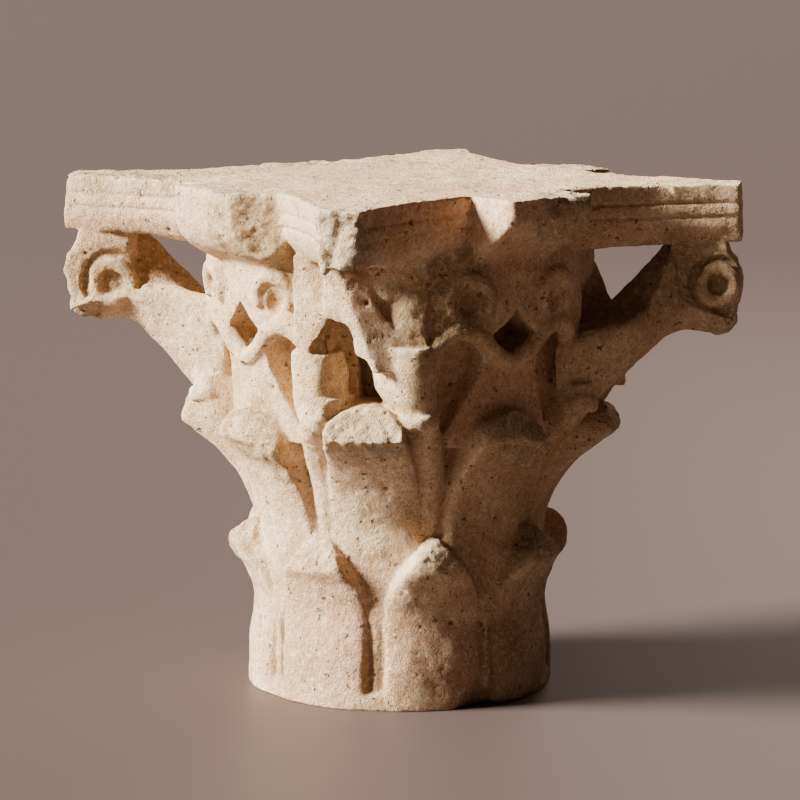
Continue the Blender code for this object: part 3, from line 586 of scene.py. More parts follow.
def make_panel(number, azimuth, bell, collection, cutters):
    """Raised face of the bell with its niches, middle stem and diamond recess."""
    rings = []
    for height in spread(UPPER_LEAF_TOP * 0.88, BELL_HEIGHT + 0.010, 14):
        outer = panel_radius(height)
        turns = spread(-PANEL_HALF_ANGLE, PANEL_HALF_ANGLE, 2 * ARC_STEPS + 1)
        ring = [polar(outer, azimuth + turn, height) for turn in turns]
        ring += [polar(BASE_RADIUS * 0.85, azimuth + turn, height) for turn in reversed(turns)]
        rings.append(ring)
    panel = add_object(f"panel_{number}", loft(rings), collection)
    outside = PANEL_RADIUS * 1.3
    for side in (-1, 1):
        reach = (NICHE_FLOOR * PANEL_RADIUS, outside)
        subtract(panel, push_in(f"niche_{number}_{side}", niche_outline(side), azimuth, reach, cutters))
    reach = (DIAMOND_FLOOR * PANEL_RADIUS, outside)
    diamond = push_in(f"diamond_{number}", diamond_outline(), azimuth, reach, cutters)
    subtract(panel, diamond)
    subtract(bell, diamond)
    for side in (-1, 1):
        name = f"{number}_{side}"
        subtract(panel, hide_cutter(lump(f"eye_{name}", helix_eye(azimuth, side), EYE_RADII, cutters)))
        make_hood(f"hood_{name}", azimuth, side, collection)
        make_helix(f"helix_{name}", azimuth + side * HELIX_ANGLE, collection)


def helix_eye(azimuth, side):
    """Spot of the hollow under a helix's arch."""
    radius = panel_radius(HELIX_CENTRE) / PANEL_RADIUS
    return radius, azimuth + side * HELIX_ANGLE, HELIX_CENTRE / BELL_HEIGHT - 0.012


def make_hood(name, azimuth, side, collection):
    """Raised band over the head of a niche, from the collar to the foot of the diamond."""
    outline = niche_outline(side)
    route = outline[1:7]
    route.append((side * 0.28 * DIAMOND_WIDTH, DIAMOND_CENTRE - 0.31 * DIAMOND_HEIGHT - HOOD_RADIUS))
    route.append((0.0, DIAMOND_CENTRE - 0.5 * DIAMOND_HEIGHT - HOOD_RADIUS))
    places = list(range(len(route)))
    across = [(at, point[0]) for at, point in zip(places, route)]
    heights = [(at, point[1]) for at, point in zip(places, route)]
    points = []
    for at in spread(0.0, places[-1], 24):
        height = follow(heights, at) + HOOD_RADIUS * 0.5
        radius = panel_radius(height) - 0.0026
        points.append(polar(radius, azimuth + math.degrees(follow(across, at) / radius), height))
    tube(name, points, [HOOD_RADIUS] * len(points), collection)


def make_helix(name, azimuth, collection):
    """Worn spiral at the head of a face: one raised coil, an arch open at the bottom."""
    radius = panel_radius(HELIX_CENTRE)
    points = []
    for turn in spread(-125.0, 125.0, 22):
        across = 0.88 * HELIX_RADIUS * math.sin(math.radians(turn))
        height = HELIX_CENTRE + 0.82 * HELIX_RADIUS * math.cos(math.radians(turn))
        points.append(polar(radius + 0.001, azimuth + math.degrees(across / radius), height))
    thick = [HELIX_RADIUS * value for value in (0.20, 0.34, 0.20)]
    places = (0, 0.5 * (len(points) - 1), len(points) - 1)
    sizes = [follow(list(zip(places, thick)), at) for at in range(len(points))]
    tube(name, points, sizes, collection)


# Volutes


def keel(along):
    """Height of the underside of a corner arm at a distance from the axis."""
    rise = (
        (0.48, 0.590), (0.56, 0.632), (0.61, 0.668), (0.655, 0.703), (0.703, 0.740),
        (0.746, 0.771), (0.785, 0.798), (0.84, 0.811), (0.88, 0.806), (0.93, 0.803),
        (0.965, 0.810), (0.98, 0.824),
    )
    return BELL_HEIGHT * follow(rise, along / VOLUTE_REACH)


def arm_ring(azimuth, along, tops):
    """Section of a corner arm: a keel, two flanks and a sloping top."""
    share = along / VOLUTE_REACH
    half = VOLUTE_THICKNESS * follow(
        ((0.48, 1.75), (0.56, 1.52), (0.61, 1.32), (0.655, 1.10), (0.703, 0.88),
         (0.746, 0.70), (0.785, 0.58), (0.84, 0.50), (0.93, 0.48), (0.98, 0.36)),
        share,
    )
    flank = BELL_HEIGHT * follow(
        ((0.48, 0.015), (0.60, 0.020), (0.70, 0.034), (0.78, 0.052), (0.90, 0.058), (0.98, 0.040)),
        share,
    )
    low = keel(along)
    left, right = [BELL_HEIGHT * follow(top, share) for top in tops]
    root = min(1.0, max(0.0, (0.72 - share) / 0.24))
    lower = half * (0.70 - 0.06 * root)
    middle = half * (0.96 - 0.06 * root)
    section = (
        (0.0, low), (lower * 0.6, low + flank * 0.40), (lower, low + flank),
        (middle, 0.45 * (low + flank) + 0.55 * left), (half, left - 0.010), (half - 0.004, left),
        (half * 0.55, left - 0.003), (0.0, 0.5 * (left + right) - 0.008), (-half * 0.55, right - 0.003),
        (0.004 - half, right), (-half, right - 0.010), (-middle, 0.45 * (low + flank) + 0.55 * right),
        (-lower, low + flank), (-lower * 0.6, low + flank * 0.40),
    )
    return rounded(standing(section, azimuth, along), ROUNDING)


# Top edges of an arm, as (share of the volute's reach, share of the bell's height)
HOLLOWED_TOP = (
    (0.48, 0.80), (0.58, 0.822), (0.65, 0.838), (0.70, 0.858), (0.745, 0.90),
    (0.78, 0.97), (0.795, 0.99), (0.82, 0.92), (0.86, 0.882), (0.98, 0.852),
)
LEDGED_TOP = (
    (0.48, 0.880), (0.60, 0.895), (0.66, 0.908), (0.74, 0.902), (0.76, 0.890),
    (0.87, 0.879), (0.98, 0.852),
)
STRAIGHT_TOP = (
    (0.48, 0.83), (0.58, 0.850), (0.64, 0.896), (0.73, 0.975), (0.77, 1.01),
    (0.80, 1.02), (0.83, 1.02), (0.90, 0.93), (0.98, 0.88),
)
# Left and right top edge of each arm, in the order of the corners
ARM_TOPS = (
    (STRAIGHT_TOP, HOLLOWED_TOP),
    (STRAIGHT_TOP, HOLLOWED_TOP),
    (LEDGED_TOP, STRAIGHT_TOP),
)


def scroll_outline():
    """Outline of a scroll as (distance from the axis, height) points."""
    points = (
        (0.779, 0.857), (0.785, 0.898), (0.792, 0.964), (0.792, 1.03), (0.945, 1.03),
        (0.960, 0.995), (0.980, 0.974), (0.994, 0.954), (1.000, 0.923), (0.992, 0.885),
        (0.977, 0.862), (0.955, 0.852), (0.865, 0.857),
    )
    return [(along * VOLUTE_REACH, up * BELL_HEIGHT) for along, up in points]


# Where a scroll's eye sits and how wide its sinking is, other than the usual
USUAL_EYE = (0.905, 0.912, 0.082)
SCROLL_EYES = {"scroll_2_1": (0.848, 0.900, 0.098), "scroll_0_-1": (0.930, 0.922, 0.085)}

# Coils sunk otherwise than the rest, as a share of the recess
SUNK_COILS = {"scroll_2_1": 1.0}
USUAL_SINK = 0.2


def shrunk(outline, share):
    """Outline drawn in towards its middle to a share of its size."""
    middle = [sum(values) / len(outline) for values in zip(*outline)]
    points = []
    for along, up in outline:
        kept_along = middle[0] + (along - middle[0]) * share
        points.append((kept_along, middle[1] + (up - middle[1]) * share))
    return points


def make_scroll(name, azimuth, collection, cutters):
    """Block of a scroll with a sunk disc and a coil on each face."""
    half = SCROLL_HALF
    rings = []
    for across, share in ((-half, 0.93), (-half * 0.8, 1.0), (half * 0.8, 1.0), (half, 0.93)):
        outline = shrunk(scroll_outline(), share)
        rings.append([turned(azimuth) @ Vector((along, across, up)) for along, up in outline])
    scroll = add_object(name, loft(rings), collection)
    for side in (-1, 1):
        add_coil(scroll, side, azimuth, collection, cutters)


def add_coil(scroll, side, azimuth, collection, cutters):
    """Sunk disc in one face of a scroll, with a coil in it."""
    name = f"{scroll.name}_{side}"
    along, up, wide = SCROLL_EYES.get(name, USUAL_EYE)
    radius = VOLUTE_REACH * wide
    eye = Vector((VOLUTE_REACH * along, side * SCROLL_HALF, BELL_HEIGHT * up))
    facing = (math.radians(90.0), 0.0, math.radians(azimuth))
    bpy.ops.mesh.primitive_cylinder_add(
        vertices=32,
        radius=radius,
        depth=2.0 * SCROLL_RECESS,
        location=turned(azimuth) @ eye,
        rotation=facing,
    )
    subtract(scroll, hide_cutter(adopt(f"sinking_{name}", cutters)))
    eye.y = side * (SCROLL_HALF - SCROLL_RECESS * SUNK_COILS.get(name, USUAL_SINK))
    bpy.ops.mesh.primitive_torus_add(
        major_segments=24,
        minor_segments=8,
        major_radius=radius * 0.56,
        minor_radius=radius * 0.24,
        location=turned(azimuth) @ eye,
        rotation=facing,
    )
    adopt(f"coil_{name}", collection)


def make_volute(number, azimuth, tops, collection, cutters):
    """Two stalks' arms joined in one, from the bell to the scroll under the corner."""
    stations = spread(VOLUTE_REACH * 0.48, VOLUTE_REACH * 0.98, STATIONS)
    rings = [arm_ring(azimuth, along, tops) for along in stations]
    arm = add_object(f"arm_{number}", loft(rings), collection)
    sink_root(arm, azimuth, cutters)
    make_scroll(f"scroll_{number}", azimuth, collection, cutters)


def sink_root(arm, azimuth, cutters):
    """Hollow between the roots of the two arms, above the corner leaf."""
    low = UPPER_LEAF_TOP + 0.006
    outline = (
        (-0.010, low), (0.010, low), (0.013, low + 0.030),
        (0.0, low + 0.052), (-0.013, low + 0.030),
    )
    reach = (BASE_RADIUS, VOLUTE_REACH * 0.66)
    subtract(arm, push_in(f"root_{arm.name}", outline, azimuth, reach, cutters))


def corner_block(name, rows, collection):
    """Free form between heights, each row a ring of (radius, azimuth) in shares."""
    rings = []
    for height, ring in rows:
        rings.append(rounded([place(radius, turn, height) for radius, turn in ring], ROUNDING))
    add_object(name, loft(rings), collection)


def corner_prism(outline, inner, outer):
    """An outline of (azimuth, height) shares pushed outwards from the axis."""
    rings = []
    for radius in (inner, outer):
        rings.append([place(radius, turn, height) for turn, height in outline])
    return loft(rings)


def lump(name, spot, radii, collection):
    """Rounded mass at a spot, with radii outwards, across and upwards."""
    bpy.ops.mesh.primitive_uv_sphere_add(segments=20, ring_count=12, radius=1.0, location=place(*spot))
    made = adopt(name, collection)
    made.scale = [radius * PANEL_RADIUS for radius in radii]
    made.rotation_euler = (0.0, 0.0, math.radians(spot[1]))
    bpy.context.view_layer.update()
    return made


# Deep pocket between the two calyxes of the broken corner, in azimuths and heights
POCKET = ((-50.2, 0.690), (-42.5, 0.690), (-42.5, 0.780), (-45.0, 0.815), (-49.0, 0.815), (-50.2, 0.780))


def cut_pocket(bell, cutters):
    """Sink the pocket into the bell."""
    subtract(bell, add_cutter("pocket", corner_prism(POCKET, 0.68, 0.98), cutters))


def make_remains(collection):
    """What is left at the broken corner, and of a helix behind the right arm."""
    for name, rows in CALYXES.items():
        corner_block(name, rows, collection)
    for name, outline, inner, outer, breaks in BROKEN_BLOCKS:
        block = corner_prism(outline, inner, outer)
        break_all(block, breaks)
        add_object(name, block, collection)


CALYX_LEFT = (
    (0.640, ((0.84, -67.0), (0.98, -66.0), (1.00, -62.0), (0.98, -58.5), (0.84, -54.0))),
    (0.675, ((0.84, -69.0), (1.04, -67.0), (1.06, -62.0), (1.03, -58.0), (0.86, -53.0))),
    (0.710, ((0.84, -70.0), (1.05, -67.5), (1.09, -61.5), (1.085, -56.0), (0.86, -49.5))),
    (0.765, ((0.84, -71.0), (1.05, -68.0), (1.09, -61.5), (1.085, -56.0), (0.86, -49.0))),
    (0.806, ((0.84, -71.0), (1.05, -68.0), (1.08, -61.5), (1.060, -58.0), (0.86, -51.5))),
)
CALYX_RIGHT = (
    (0.640, ((0.84, -35.5), (0.97, -34.5), (1.00, -32.0), (1.00, -28.5), (0.97, -26.0), (0.84, -25.0))),
    (0.678, ((0.84, -38.0), (0.98, -37.0), (1.035, -34.0), (1.045, -29.5), (1.02, -25.0), (0.84, -24.0))),
    (0.700, ((0.84, -41.0), (0.98, -41.0), (1.085, -35.5), (1.10, -30.5), (1.06, -25.0), (0.84, -24.0))),
    (0.727, ((0.84, -44.0), (0.95, -43.8), (1.09, -36.5), (1.115, -31.0), (1.07, -25.5), (0.84, -24.0))),
    (0.778, ((0.84, -45.0), (0.94, -44.8), (1.085, -38.5), (1.12, -32.0), (1.07, -25.5), (0.84, -24.0))),
    (0.821, ((0.84, -45.0), (0.94, -44.8), (1.07, -39.5), (1.10, -32.0), (1.05, -26.5), (0.84, -25.0))),
)
NECK = (
    (-66.0, 1.015), (-66.0, 0.820), (-61.5, 0.806), (-59.5, 0.826), (-56.0, 0.872),
    (-52.5, 0.905), (-50.0, 0.935), (-49.0, 1.015),
)
WEB = (
    (-57.0, 1.015), (-56.5, 0.885), (-52.0, 0.876), (-49.4, 0.872), (-48.2, 0.846),
    (-47.6, 0.806), (-44.5, 0.796), (-42.5, 0.770), (-30.0, 0.772), (-26.3, 0.802),
    (-34.0, 0.846), (-38.0, 0.866), (-41.2, 0.890), (-43.4, 0.925), (-44.4, 0.970), (-44.0, 1.015),
)
# Flat breaks: a point on each, the way it faces and its rise
NECK_BREAKS = (((1.056, -56.0, 0.880), -34.0, 13.0),)
SHEAR_BREAKS = (((1.022, -34.0, 0.900), -66.0, 12.0),)
WEB_BREAKS = (
    ((1.070, -45.0, 0.888), -16.0, 16.0),
    ((1.065, -56.0, 0.900), -62.0, 0.0),
)
SHEAR = (
    (-48.0, 1.015), (-48.0, 0.895), (-44.0, 0.855), (-37.0, 0.825), (-28.0, 0.820),
    (-28.0, 1.015),
)
# What is left of a helix behind the right arm
FAR_HELIX = (
    (58.0, 0.930), (59.0, 0.830), (63.0, 0.775), (69.0, 0.745), (76.0, 0.780), (79.0, 0.860),
    (77.0, 0.950), (70.0, 0.985), (62.0, 0.985),
)
FAR_HELIX_BREAKS = (
    ((1.130, 66.0, 0.860), 60.0, 24.0),
    ((1.130, 72.0, 0.800), 88.0, -24.0),
)
CALYXES = {"calyx_left": CALYX_LEFT, "calyx_right": CALYX_RIGHT}
# Name, outline, inner and outer radius as shares, and breaks
BROKEN_BLOCKS = (
    ("neck", NECK, 0.84, 1.060, NECK_BREAKS),
    ("web", WEB, 0.80, 1.35, WEB_BREAKS),
    ("shear", SHEAR, 0.80, 1.025, SHEAR_BREAKS),
    ("far_helix", FAR_HELIX, 0.84, 1.19, FAR_HELIX_BREAKS),
)


# Abacus


def side_curve(share):
    """Point (out, across) on a hollow side, from one cut corner to the next."""
    diagonal = CORNER_REACH / math.sqrt(2.0)
    half_cut = 0.5 * CORNER_CUT / math.sqrt(2.0)
    end_out = diagonal + half_cut
    end_across = diagonal - half_cut
    depth = end_out - SIDE_REACH
    radius = (end_across ** 2 + depth ** 2) / (2.0 * depth)
    across = end_across * share
    out = SIDE_REACH + radius - math.sqrt(radius ** 2 - across ** 2)
    return out, across


def abacus_ring(height, inset):
    """Outline of the abacus at a height, drawn in from the sides by an inset."""
    ring = []
    bottom = HEIGHT - ABACUS_HEIGHT
    sink = min(1.0, max(0.0, (HEIGHT - height) / ABACUS_HEIGHT))
    for quarter in range(4):
        for share in spread(-1.0, 1.0, SIDE_STEPS + 1):
            out, across = side_curve(share)
            near_corner = abs(share) ** 3
            lifted = height + (0.012 * near_corner if height <= bottom + 0.001 else 0.0)
            drawn_in = inset * (1.0 - 0.45 * near_corner)
            flare = (CORNER_FLARE * sink + 0.5 * drawn_in) * near_corner ** 2 / math.sqrt(2.0)
            flare_across = flare if share > 0 else -flare
            point = Vector((out - drawn_in + flare, across + flare_across, lifted))
            ring.append(turned(90.0 * quarter) @ point)
    return ring


def make_abacus(collection):
    """Hollow-sided slab with a band, two grooves and a hollow moulding."""
    levels = [(HEIGHT, 0.0), (HEIGHT - TOP_BAND, 0.0)]
    level = HEIGHT - TOP_BAND
    levels.append((level - GROOVE_EDGE, GROOVE_DEPTH))
    level -= GROOVE
    levels.append((level, GROOVE_DEPTH))
    levels.append((level - GROOVE_EDGE, 0.0))
    level -= FILLET
    levels.append((level, 0.0005))
    levels.append((level - GROOVE_EDGE, GROOVE_DEPTH + 0.0005))
    level -= GROOVE
    levels.append((level, GROOVE_DEPTH + 0.001))
    bottom = HEIGHT - ABACUS_HEIGHT
    for share in spread(0.0, 1.0, 5):
        height = level - 0.0010 - share * (level - bottom - 0.0010)
        inset = 0.0020 + HOLLOW_DEPTH * share ** 1.6
        levels.append((height, inset))
    rings = [abacus_ring(height, inset) for height, inset in reversed(levels)]
    return add_object("abacus", loft(rings), collection)


# How far a boss reaches out at each share of the slab's height
SLANTED = (
    (-0.10, 0.00), (0.00, 0.06), (0.15, 0.28), (0.30, 0.53), (0.45, 0.76),
    (0.58, 0.94), (0.66, 0.99), (0.80, 1.00),
)
BELLIED = (
    (-0.10, 0.10), (0.00, 0.36), (0.08, 0.58), (0.18, 0.77), (0.32, 0.92),
    (0.48, 0.99), (0.80, 1.00),
)


def boss(azimuth, left, right, reach, push):
    """Block in the middle of a side: an upright front over a swelling underside."""
    widen = ((-0.10, 0.80), (0.00, 0.88), (0.30, 0.96), (0.60, 1.00))
    bottom = HEIGHT - ABACUS_HEIGHT
    rings = []
    for share in spread(-0.10, 1.0, 14):
        out = PANEL_RADIUS - 0.002 + (reach - PANEL_RADIUS) * follow(push, share)
        low = left * follow(widen, share)
        high = right * follow(widen, share)
        corner = 0.006
        outline = (
            (PANEL_RADIUS * 0.7, low), (out - corner, low), (out - corner * 0.3, low + corner * 0.3),
            (out, low + corner), (out, high - corner), (out - corner * 0.3, high - corner * 0.3),
            (out - corner, high), (PANEL_RADIUS * 0.7, high),
        )
        height = bottom + share * ABACUS_HEIGHT
        rings.append([turned(azimuth) @ Vector((x, y, height)) for x, y in outline])
    return loft(rings)


def make_bosses(collection):
    """The four bosses, worn or broken in their own ways."""
    half = BOSS_HALF_WIDTH
    east = boss(0.0, -1.12 * half, half, BOSS_REACH, SLANTED)
    break_off(east, polar(BOSS_REACH * 0.978, 2.0, HEIGHT), 8.0, 24.0)
    add_object("boss_east", east, collection)
    south = boss(-90.0, -1.15 * half, 1.72 * half, BOSS_REACH * 0.92, BELLIED)
    break_off(south, Vector((0.92 * half, -BOSS_REACH * 0.92, 0.955 * HEIGHT)), -34.0, 9.0)
    add_object("boss_south", south, collection)
    north = boss(90.0, -half, half, BOSS_REACH * 0.92, BELLIED)
    break_off(north, polar(BOSS_REACH * 0.871, 96.0, 0.955 * HEIGHT), 112.0, 6.0)
    add_object("boss_north", north, collection)
    west = boss(180.0, -half, half, BOSS_REACH * 0.84, SLANTED)
    break_off(west, polar(BOSS_REACH * 0.791, 180.0, 0.955 * HEIGHT), 180.0, -6.0)
    add_object("boss_west", west, collection)


def build_forms(forms, cutters):
    """All the overlapping forms of the block."""
    bell = make_bell(forms)
    lower_leaves = make_leaves(forms)
    chip_foot((bell, lower_leaves[7]), cutters)
    cut_pocket(bell, cutters)
    for number, corner in enumerate((BROKEN_CORNER,) + CORNERS):
        for side in (-1, 1):
            make_stalk(f"{number}_{side}", corner + side * 22.5, corner, forms)
    for number in range(4):
        make_panel(number, 90.0 * number, bell, forms, cutters)
    for number, tops in enumerate(ARM_TOPS):
        make_volute(number, CORNERS[number], tops, forms, cutters)
    make_remains(forms)
    make_bosses(forms)


# Skin of the block


def fuse(pieces, name, collection):
    """One fine closed skin over all the overlapping forms."""
    graph = bpy.context.evaluated_depsgraph_get()
    joined = bmesh.new()
    for piece in pieces:
        data = bpy.data.meshes.new_from_object(piece.evaluated_get(graph))
        data.transform(piece.matrix_world)
        joined.from_mesh(data)
        bpy.data.meshes.remove(data)
    block = add_object(name, joined, collection)
    skin = block.modifiers.new("Fusing", "REMESH")
    skin.mode = "VOXEL"
    skin.voxel_size = VOXEL
    settle(block)
    return block


def settle(block):
    """Apply an object's modifiers to its mesh."""
    graph = bpy.context.evaluated_depsgraph_get()
    data = bpy.data.meshes.new_from_object(block.evaluated_get(graph))
    old = block.data
    block.modifiers.clear()
    block.data = data
    bpy.data.meshes.remove(old)


def read_values(items, name, width, kind=float):
    """One property of a mesh's points or edges as an array with a row for each."""
    flat = np.empty(len(items) * width, dtype=kind)
    items.foreach_get(name, flat)
    return flat.reshape(-1, width)


def read_points(mesh):
    """Points of a mesh as an array."""
    return read_values(mesh.vertices, "co", 3)


def read_normals(mesh):
    """Normals of a mesh's points as an array."""
    return read_values(mesh.vertices, "normal", 3)


def search_tree(points):
    """Points laid out for a quick search by distance."""
    tree = KDTree(len(points))
    for number, point in enumerate(points):
        tree.insert(point, number)
    tree.balance()
    return tree


def write_points(mesh, points):
    """Move the points of a mesh."""
    mesh.vertices.foreach_set("co", points.ravel())
    mesh.update()


def averaged(values, edges, count):
    """Each point's value averaged over its neighbours."""
    size = len(values)
    out = np.empty_like(values)
    for axis in range(values.shape[1]):
        column = values[:, axis]
        total = np.bincount(edges[:, 0], weights=column[edges[:, 1]], minlength=size)
        total += np.bincount(edges[:, 1], weights=column[edges[:, 0]], minlength=size)
        out[:, axis] = total / count
    return out


def smoothed(points, edges, rounds, share=0.5):
    """Points eased towards their neighbours; share may differ from point to point."""
    count = np.bincount(edges.ravel(), minlength=len(points)).astype(float)
    count = np.maximum(count, 1.0)
    for _ in range(rounds):
        points = points + share * (averaged(points, edges, count) - points)
    return points


def lattice(points, cell, seed):
    """Smooth noise between -1 and 1 with features about a cell across."""
    table = np.random.default_rng(seed).uniform(-1.0, 1.0, (LATTICE,) * 3)
    scaled = points / cell
    low = np.floor(scaled).astype(int)
    part = scaled - low
    part = part * part * (3.0 - 2.0 * part)
    sides = ((low % LATTICE, 1.0 - part), ((low + 1) % LATTICE, part))
    total = np.zeros(len(points))
    for (x, wx), (y, wy), (z, wz) in product(sides, repeat=3):
        total += wx[:, 0] * wy[:, 1] * wz[:, 2] * table[x[:, 0], y[:, 1], z[:, 2]]
    return total


def rough(points, cell, seed, octaves):
    """Noise summed over octaves, each half the size of the one before."""
    total = np.zeros(len(points))
    weight = 1.0
    for octave in range(octaves):
        total += weight * lattice(points + 0.37 * octave, cell, seed + octave)
        weight *= 0.5
        cell *= 0.5
    return total


def ramp(values, low, high):
    """Values from 0 at low to 1 at high, eased."""
    share = np.clip((values - low) / (high - low), 0.0, 1.0)
    return share * share * (3.0 - 2.0 * share)


def near_spots(points, spots):
    """Strongest of several soft round spots, each (radius, azimuth, height, size) in metres."""
    mask = np.zeros(len(points))
    for radius, azimuth, height, size in spots:
        centre = np.array(polar(radius, azimuth, height))
        distance = np.sqrt(((points - centre) ** 2).sum(axis=1))
        mask = np.maximum(mask, 1.0 - ramp(distance, size * 0.75, size * 1.15))
    return mask


def hollow_at(points, edges, normals, rounds):
    """How far the skin lies below its smoothed self: positive in hollows, negative on edges."""
    eased = smoothed(points, edges, rounds)
    return ((eased - points) * normals).sum(axis=1)


# Broken and rough places: radius, azimuth, height and size
ROUGH_SPOTS = (
    (0.188, -45.0, 0.250, 0.034), (0.180, -36.0, 0.246, 0.020), (0.180, -54.0, 0.250, 0.020),
    (0.174, 2.0, 0.240, 0.034), (0.150, -67.5, 0.146, 0.026), (0.150, -22.5, 0.146, 0.024),
    (0.150, 22.5, 0.140, 0.024), (0.150, -112.5, 0.140, 0.026),
    (0.184, -52.0, 0.385, 0.022), (0.180, -57.0, 0.320, 0.014), (0.290, -137.0, 0.320, 0.020),
    (0.290, 45.0, 0.330, 0.022), (0.220, 4.0, 0.440, 0.040), (0.215, 10.0, 0.425, 0.030),
    (0.280, -45.0, 0.420, 0.040), (0.190, 90.0, 0.420, 0.050), (0.180, 180.0, 0.420, 0.050),
    (0.196, 45.0, 0.246, 0.030), (0.196, 135.0, 0.246, 0.030), (0.190, -135.0, 0.246, 0.026),
    (0.180, 90.0, 0.246, 0.030), (0.180, 180.0, 0.246, 0.030), (0.290, 136.0, 0.345, 0.034),
)
# Rough but unbroken skin, stained golden brown: radius, azimuth, height and size
WORN_SPOTS = (
    (0.165, -20.0, 0.370, 0.040), (0.172, -88.0, 0.240, 0.034), (0.168, -80.0, 0.222, 0.022),
    (0.162, -78.0, 0.200, 0.020), (0.154, -74.0, 0.180, 0.016), (0.150, -71.0, 0.165, 0.014),
    (0.208, -79.0, 0.425, 0.042), (0.205, -76.0, 0.400, 0.034), (0.174, -34.0, 0.362, 0.022),
    (0.170, -28.0, 0.350, 0.030), (0.170, -18.0, 0.352, 0.022), (0.182, 69.0, 0.350, 0.034),
    (0.290, -135.0, 0.350, 0.040), (0.240, -135.0, 0.375, 0.045), (0.205, -135.0, 0.340, 0.040),
    (0.235, 45.0, 0.375, 0.045), (0.200, 45.0, 0.345, 0.040), (0.285, 45.0, 0.380, 0.030),
    (0.150, -90.0, 0.130, 0.018), (0.285, -138.0, 0.362, 0.030), (0.172, -54.0, 0.332, 0.020),
    (0.260, -135.0, 0.440, 0.030), (0.222, -128.0, 0.445, 0.020), (0.205, -118.0, 0.446, 0.014),
    (0.190, -70.0, 0.380, 0.020),
)


# The way that the tool strokes on the top run, and how far the noise is drawn out along it
STROKE_TURN = math.radians(48.0)
STROKE_STRETCH = 0.09


def tool_marks(points):
    """Depth of the strokes and dips left by tools on the top."""
    ahead = (math.cos(STROKE_TURN), math.sin(STROKE_TURN))
    stroke = np.stack(
        (
            (points[:, 0] * ahead[0] + points[:, 1] * ahead[1]) * STROKE_STRETCH,
            -points[:, 0] * ahead[1] + points[:, 1] * ahead[0],
            points[:, 2] * 0.0,
        ),
        axis=1,
    )
    scratches = 0.0006 + 0.0009 * lattice(stroke, 0.0042, 71) + 0.0007 * lattice(stroke, 0.011, 73)
    dips = 0.0016 * ramp(rough(points, 0.040, 81, 3), -0.3, 1.0)
    return np.maximum(scratches, 0.0) + dips


def wear(points, normals, edges):
    """Worn, chipped and tooled skin: hand-cut waviness, erosion, breaks and blunted edges."""
    top = ramp(points[:, 2], HEIGHT - 0.0030, HEIGHT - 0.0012) * ramp(normals[:, 2], 0.5, 0.9)
    foot = 1.0 - ramp(points[:, 2], 0.0010, 0.0060)
    broken = near_spots(points, ROUGH_SPOTS)
    worn = near_spots(points, WORN_SPOTS)
    convex = ramp(-hollow_at(points, edges, normals, EDGE_ROUNDS), 0.00025, 0.0011)
    push = WAVE * lattice(points, 0.045, 11)
    push += RIPPLE * rough(points, 0.018, 21, 3) + GRAIN * rough(points, 0.0055, 25, 2)
    push += (BREAK_DEPTH * broken + WORN_DEPTH * worn) * rough(points, 0.011, 31, 4)
    push -= FURROW * np.abs(lattice(points, 0.0075, 41)) * (0.4 + worn + broken)
    chips = ramp(rough(points, 0.020, 51, 2), 0.15, 0.85)
    push -= convex * (EDGE_LOSS + CHIP * chips)
    rim = convex * ramp(points[:, 2], HEIGHT - 0.020, HEIGHT - 0.004)
    push -= rim * RIM_LOSS * ramp(rough(points, 0.010, 61, 3), -0.2, 0.9)
    push *= 1.0 - foot * 0.7
    moved = points + normals * push[:, None]
    moved[:, 2] -= top * tool_marks(points)
    return moved, broken, worn


def pit(points, normals, count, seed):
    """Small natural holes, deep in the middle and gone at the rim, none on the underside."""
    chance = np.random.default_rng(seed)
    centres = points[chance.integers(0, len(points), count)]
    sizes = 0.0010 + 0.0016 * chance.uniform(0.0, 1.0, count) ** 4
    depths = sizes * chance.uniform(0.5, 1.2, count)
    depth = np.zeros(len(points))
    tree = search_tree(points)
    for centre, size, deep in zip(centres, sizes, depths):
        for _, number, distance in tree.find_range(centre, size * 1.3):
            share = max(0.0, 1.0 - (distance / (size * 1.3)) ** 2)
            depth[number] = max(depth[number], deep * share)
    depth *= (points[:, 2] > 0.003).astype(float)
    return points - normals * depth[:, None], depth


def weather(block):
    """Shape the skin and keep what the paint needs to know about each point."""
    mesh = block.data
    edges = read_values(mesh.edges, "vertices", 2, np.int32)
    points = read_points(mesh)
    crisp = ramp(points[:, 2], HEIGHT - ABACUS_HEIGHT - 0.004, HEIGHT - ABACUS_HEIGHT + 0.010)
    ease = (0.5 * (1.0 - 0.75 * crisp))[:, None]
    points = smoothed(points, edges, 2, ease)
    write_points(mesh, points)
    points, broken, worn = wear(points, read_normals(mesh), edges)
    write_points(mesh, points)
    points, depth = pit(points, read_normals(mesh), PITS, PIT_SEED)
    write_points(mesh, points)
    normals = read_normals(mesh)
    fine = hollow_at(points, edges, normals, FINE_ROUNDS)
    broad = hollow_at(points, edges, normals, BROAD_ROUNDS)
    low, high = (np.array(corner) for corner in cad_box)
    write_points(mesh, np.clip(points, low, high))
    return {
        # hollow: broad hollows, which the paint gives ochre dirt and painted shade
        "hollow": ramp(broad, 0.0004, 0.0050),
        # crease: fine creases, which the paint darkens as painted shade
        "crease": ramp(fine, 0.0001, 0.0009),
        # edge: convex edges, which the paint lightens as worn stone and a painted highlight
        "edge": ramp(-fine, 0.0001, 0.0008),
        "broken": broken,
        "worn": worn,
        "pit": ramp(depth, 0.0004, 0.0016),
    }


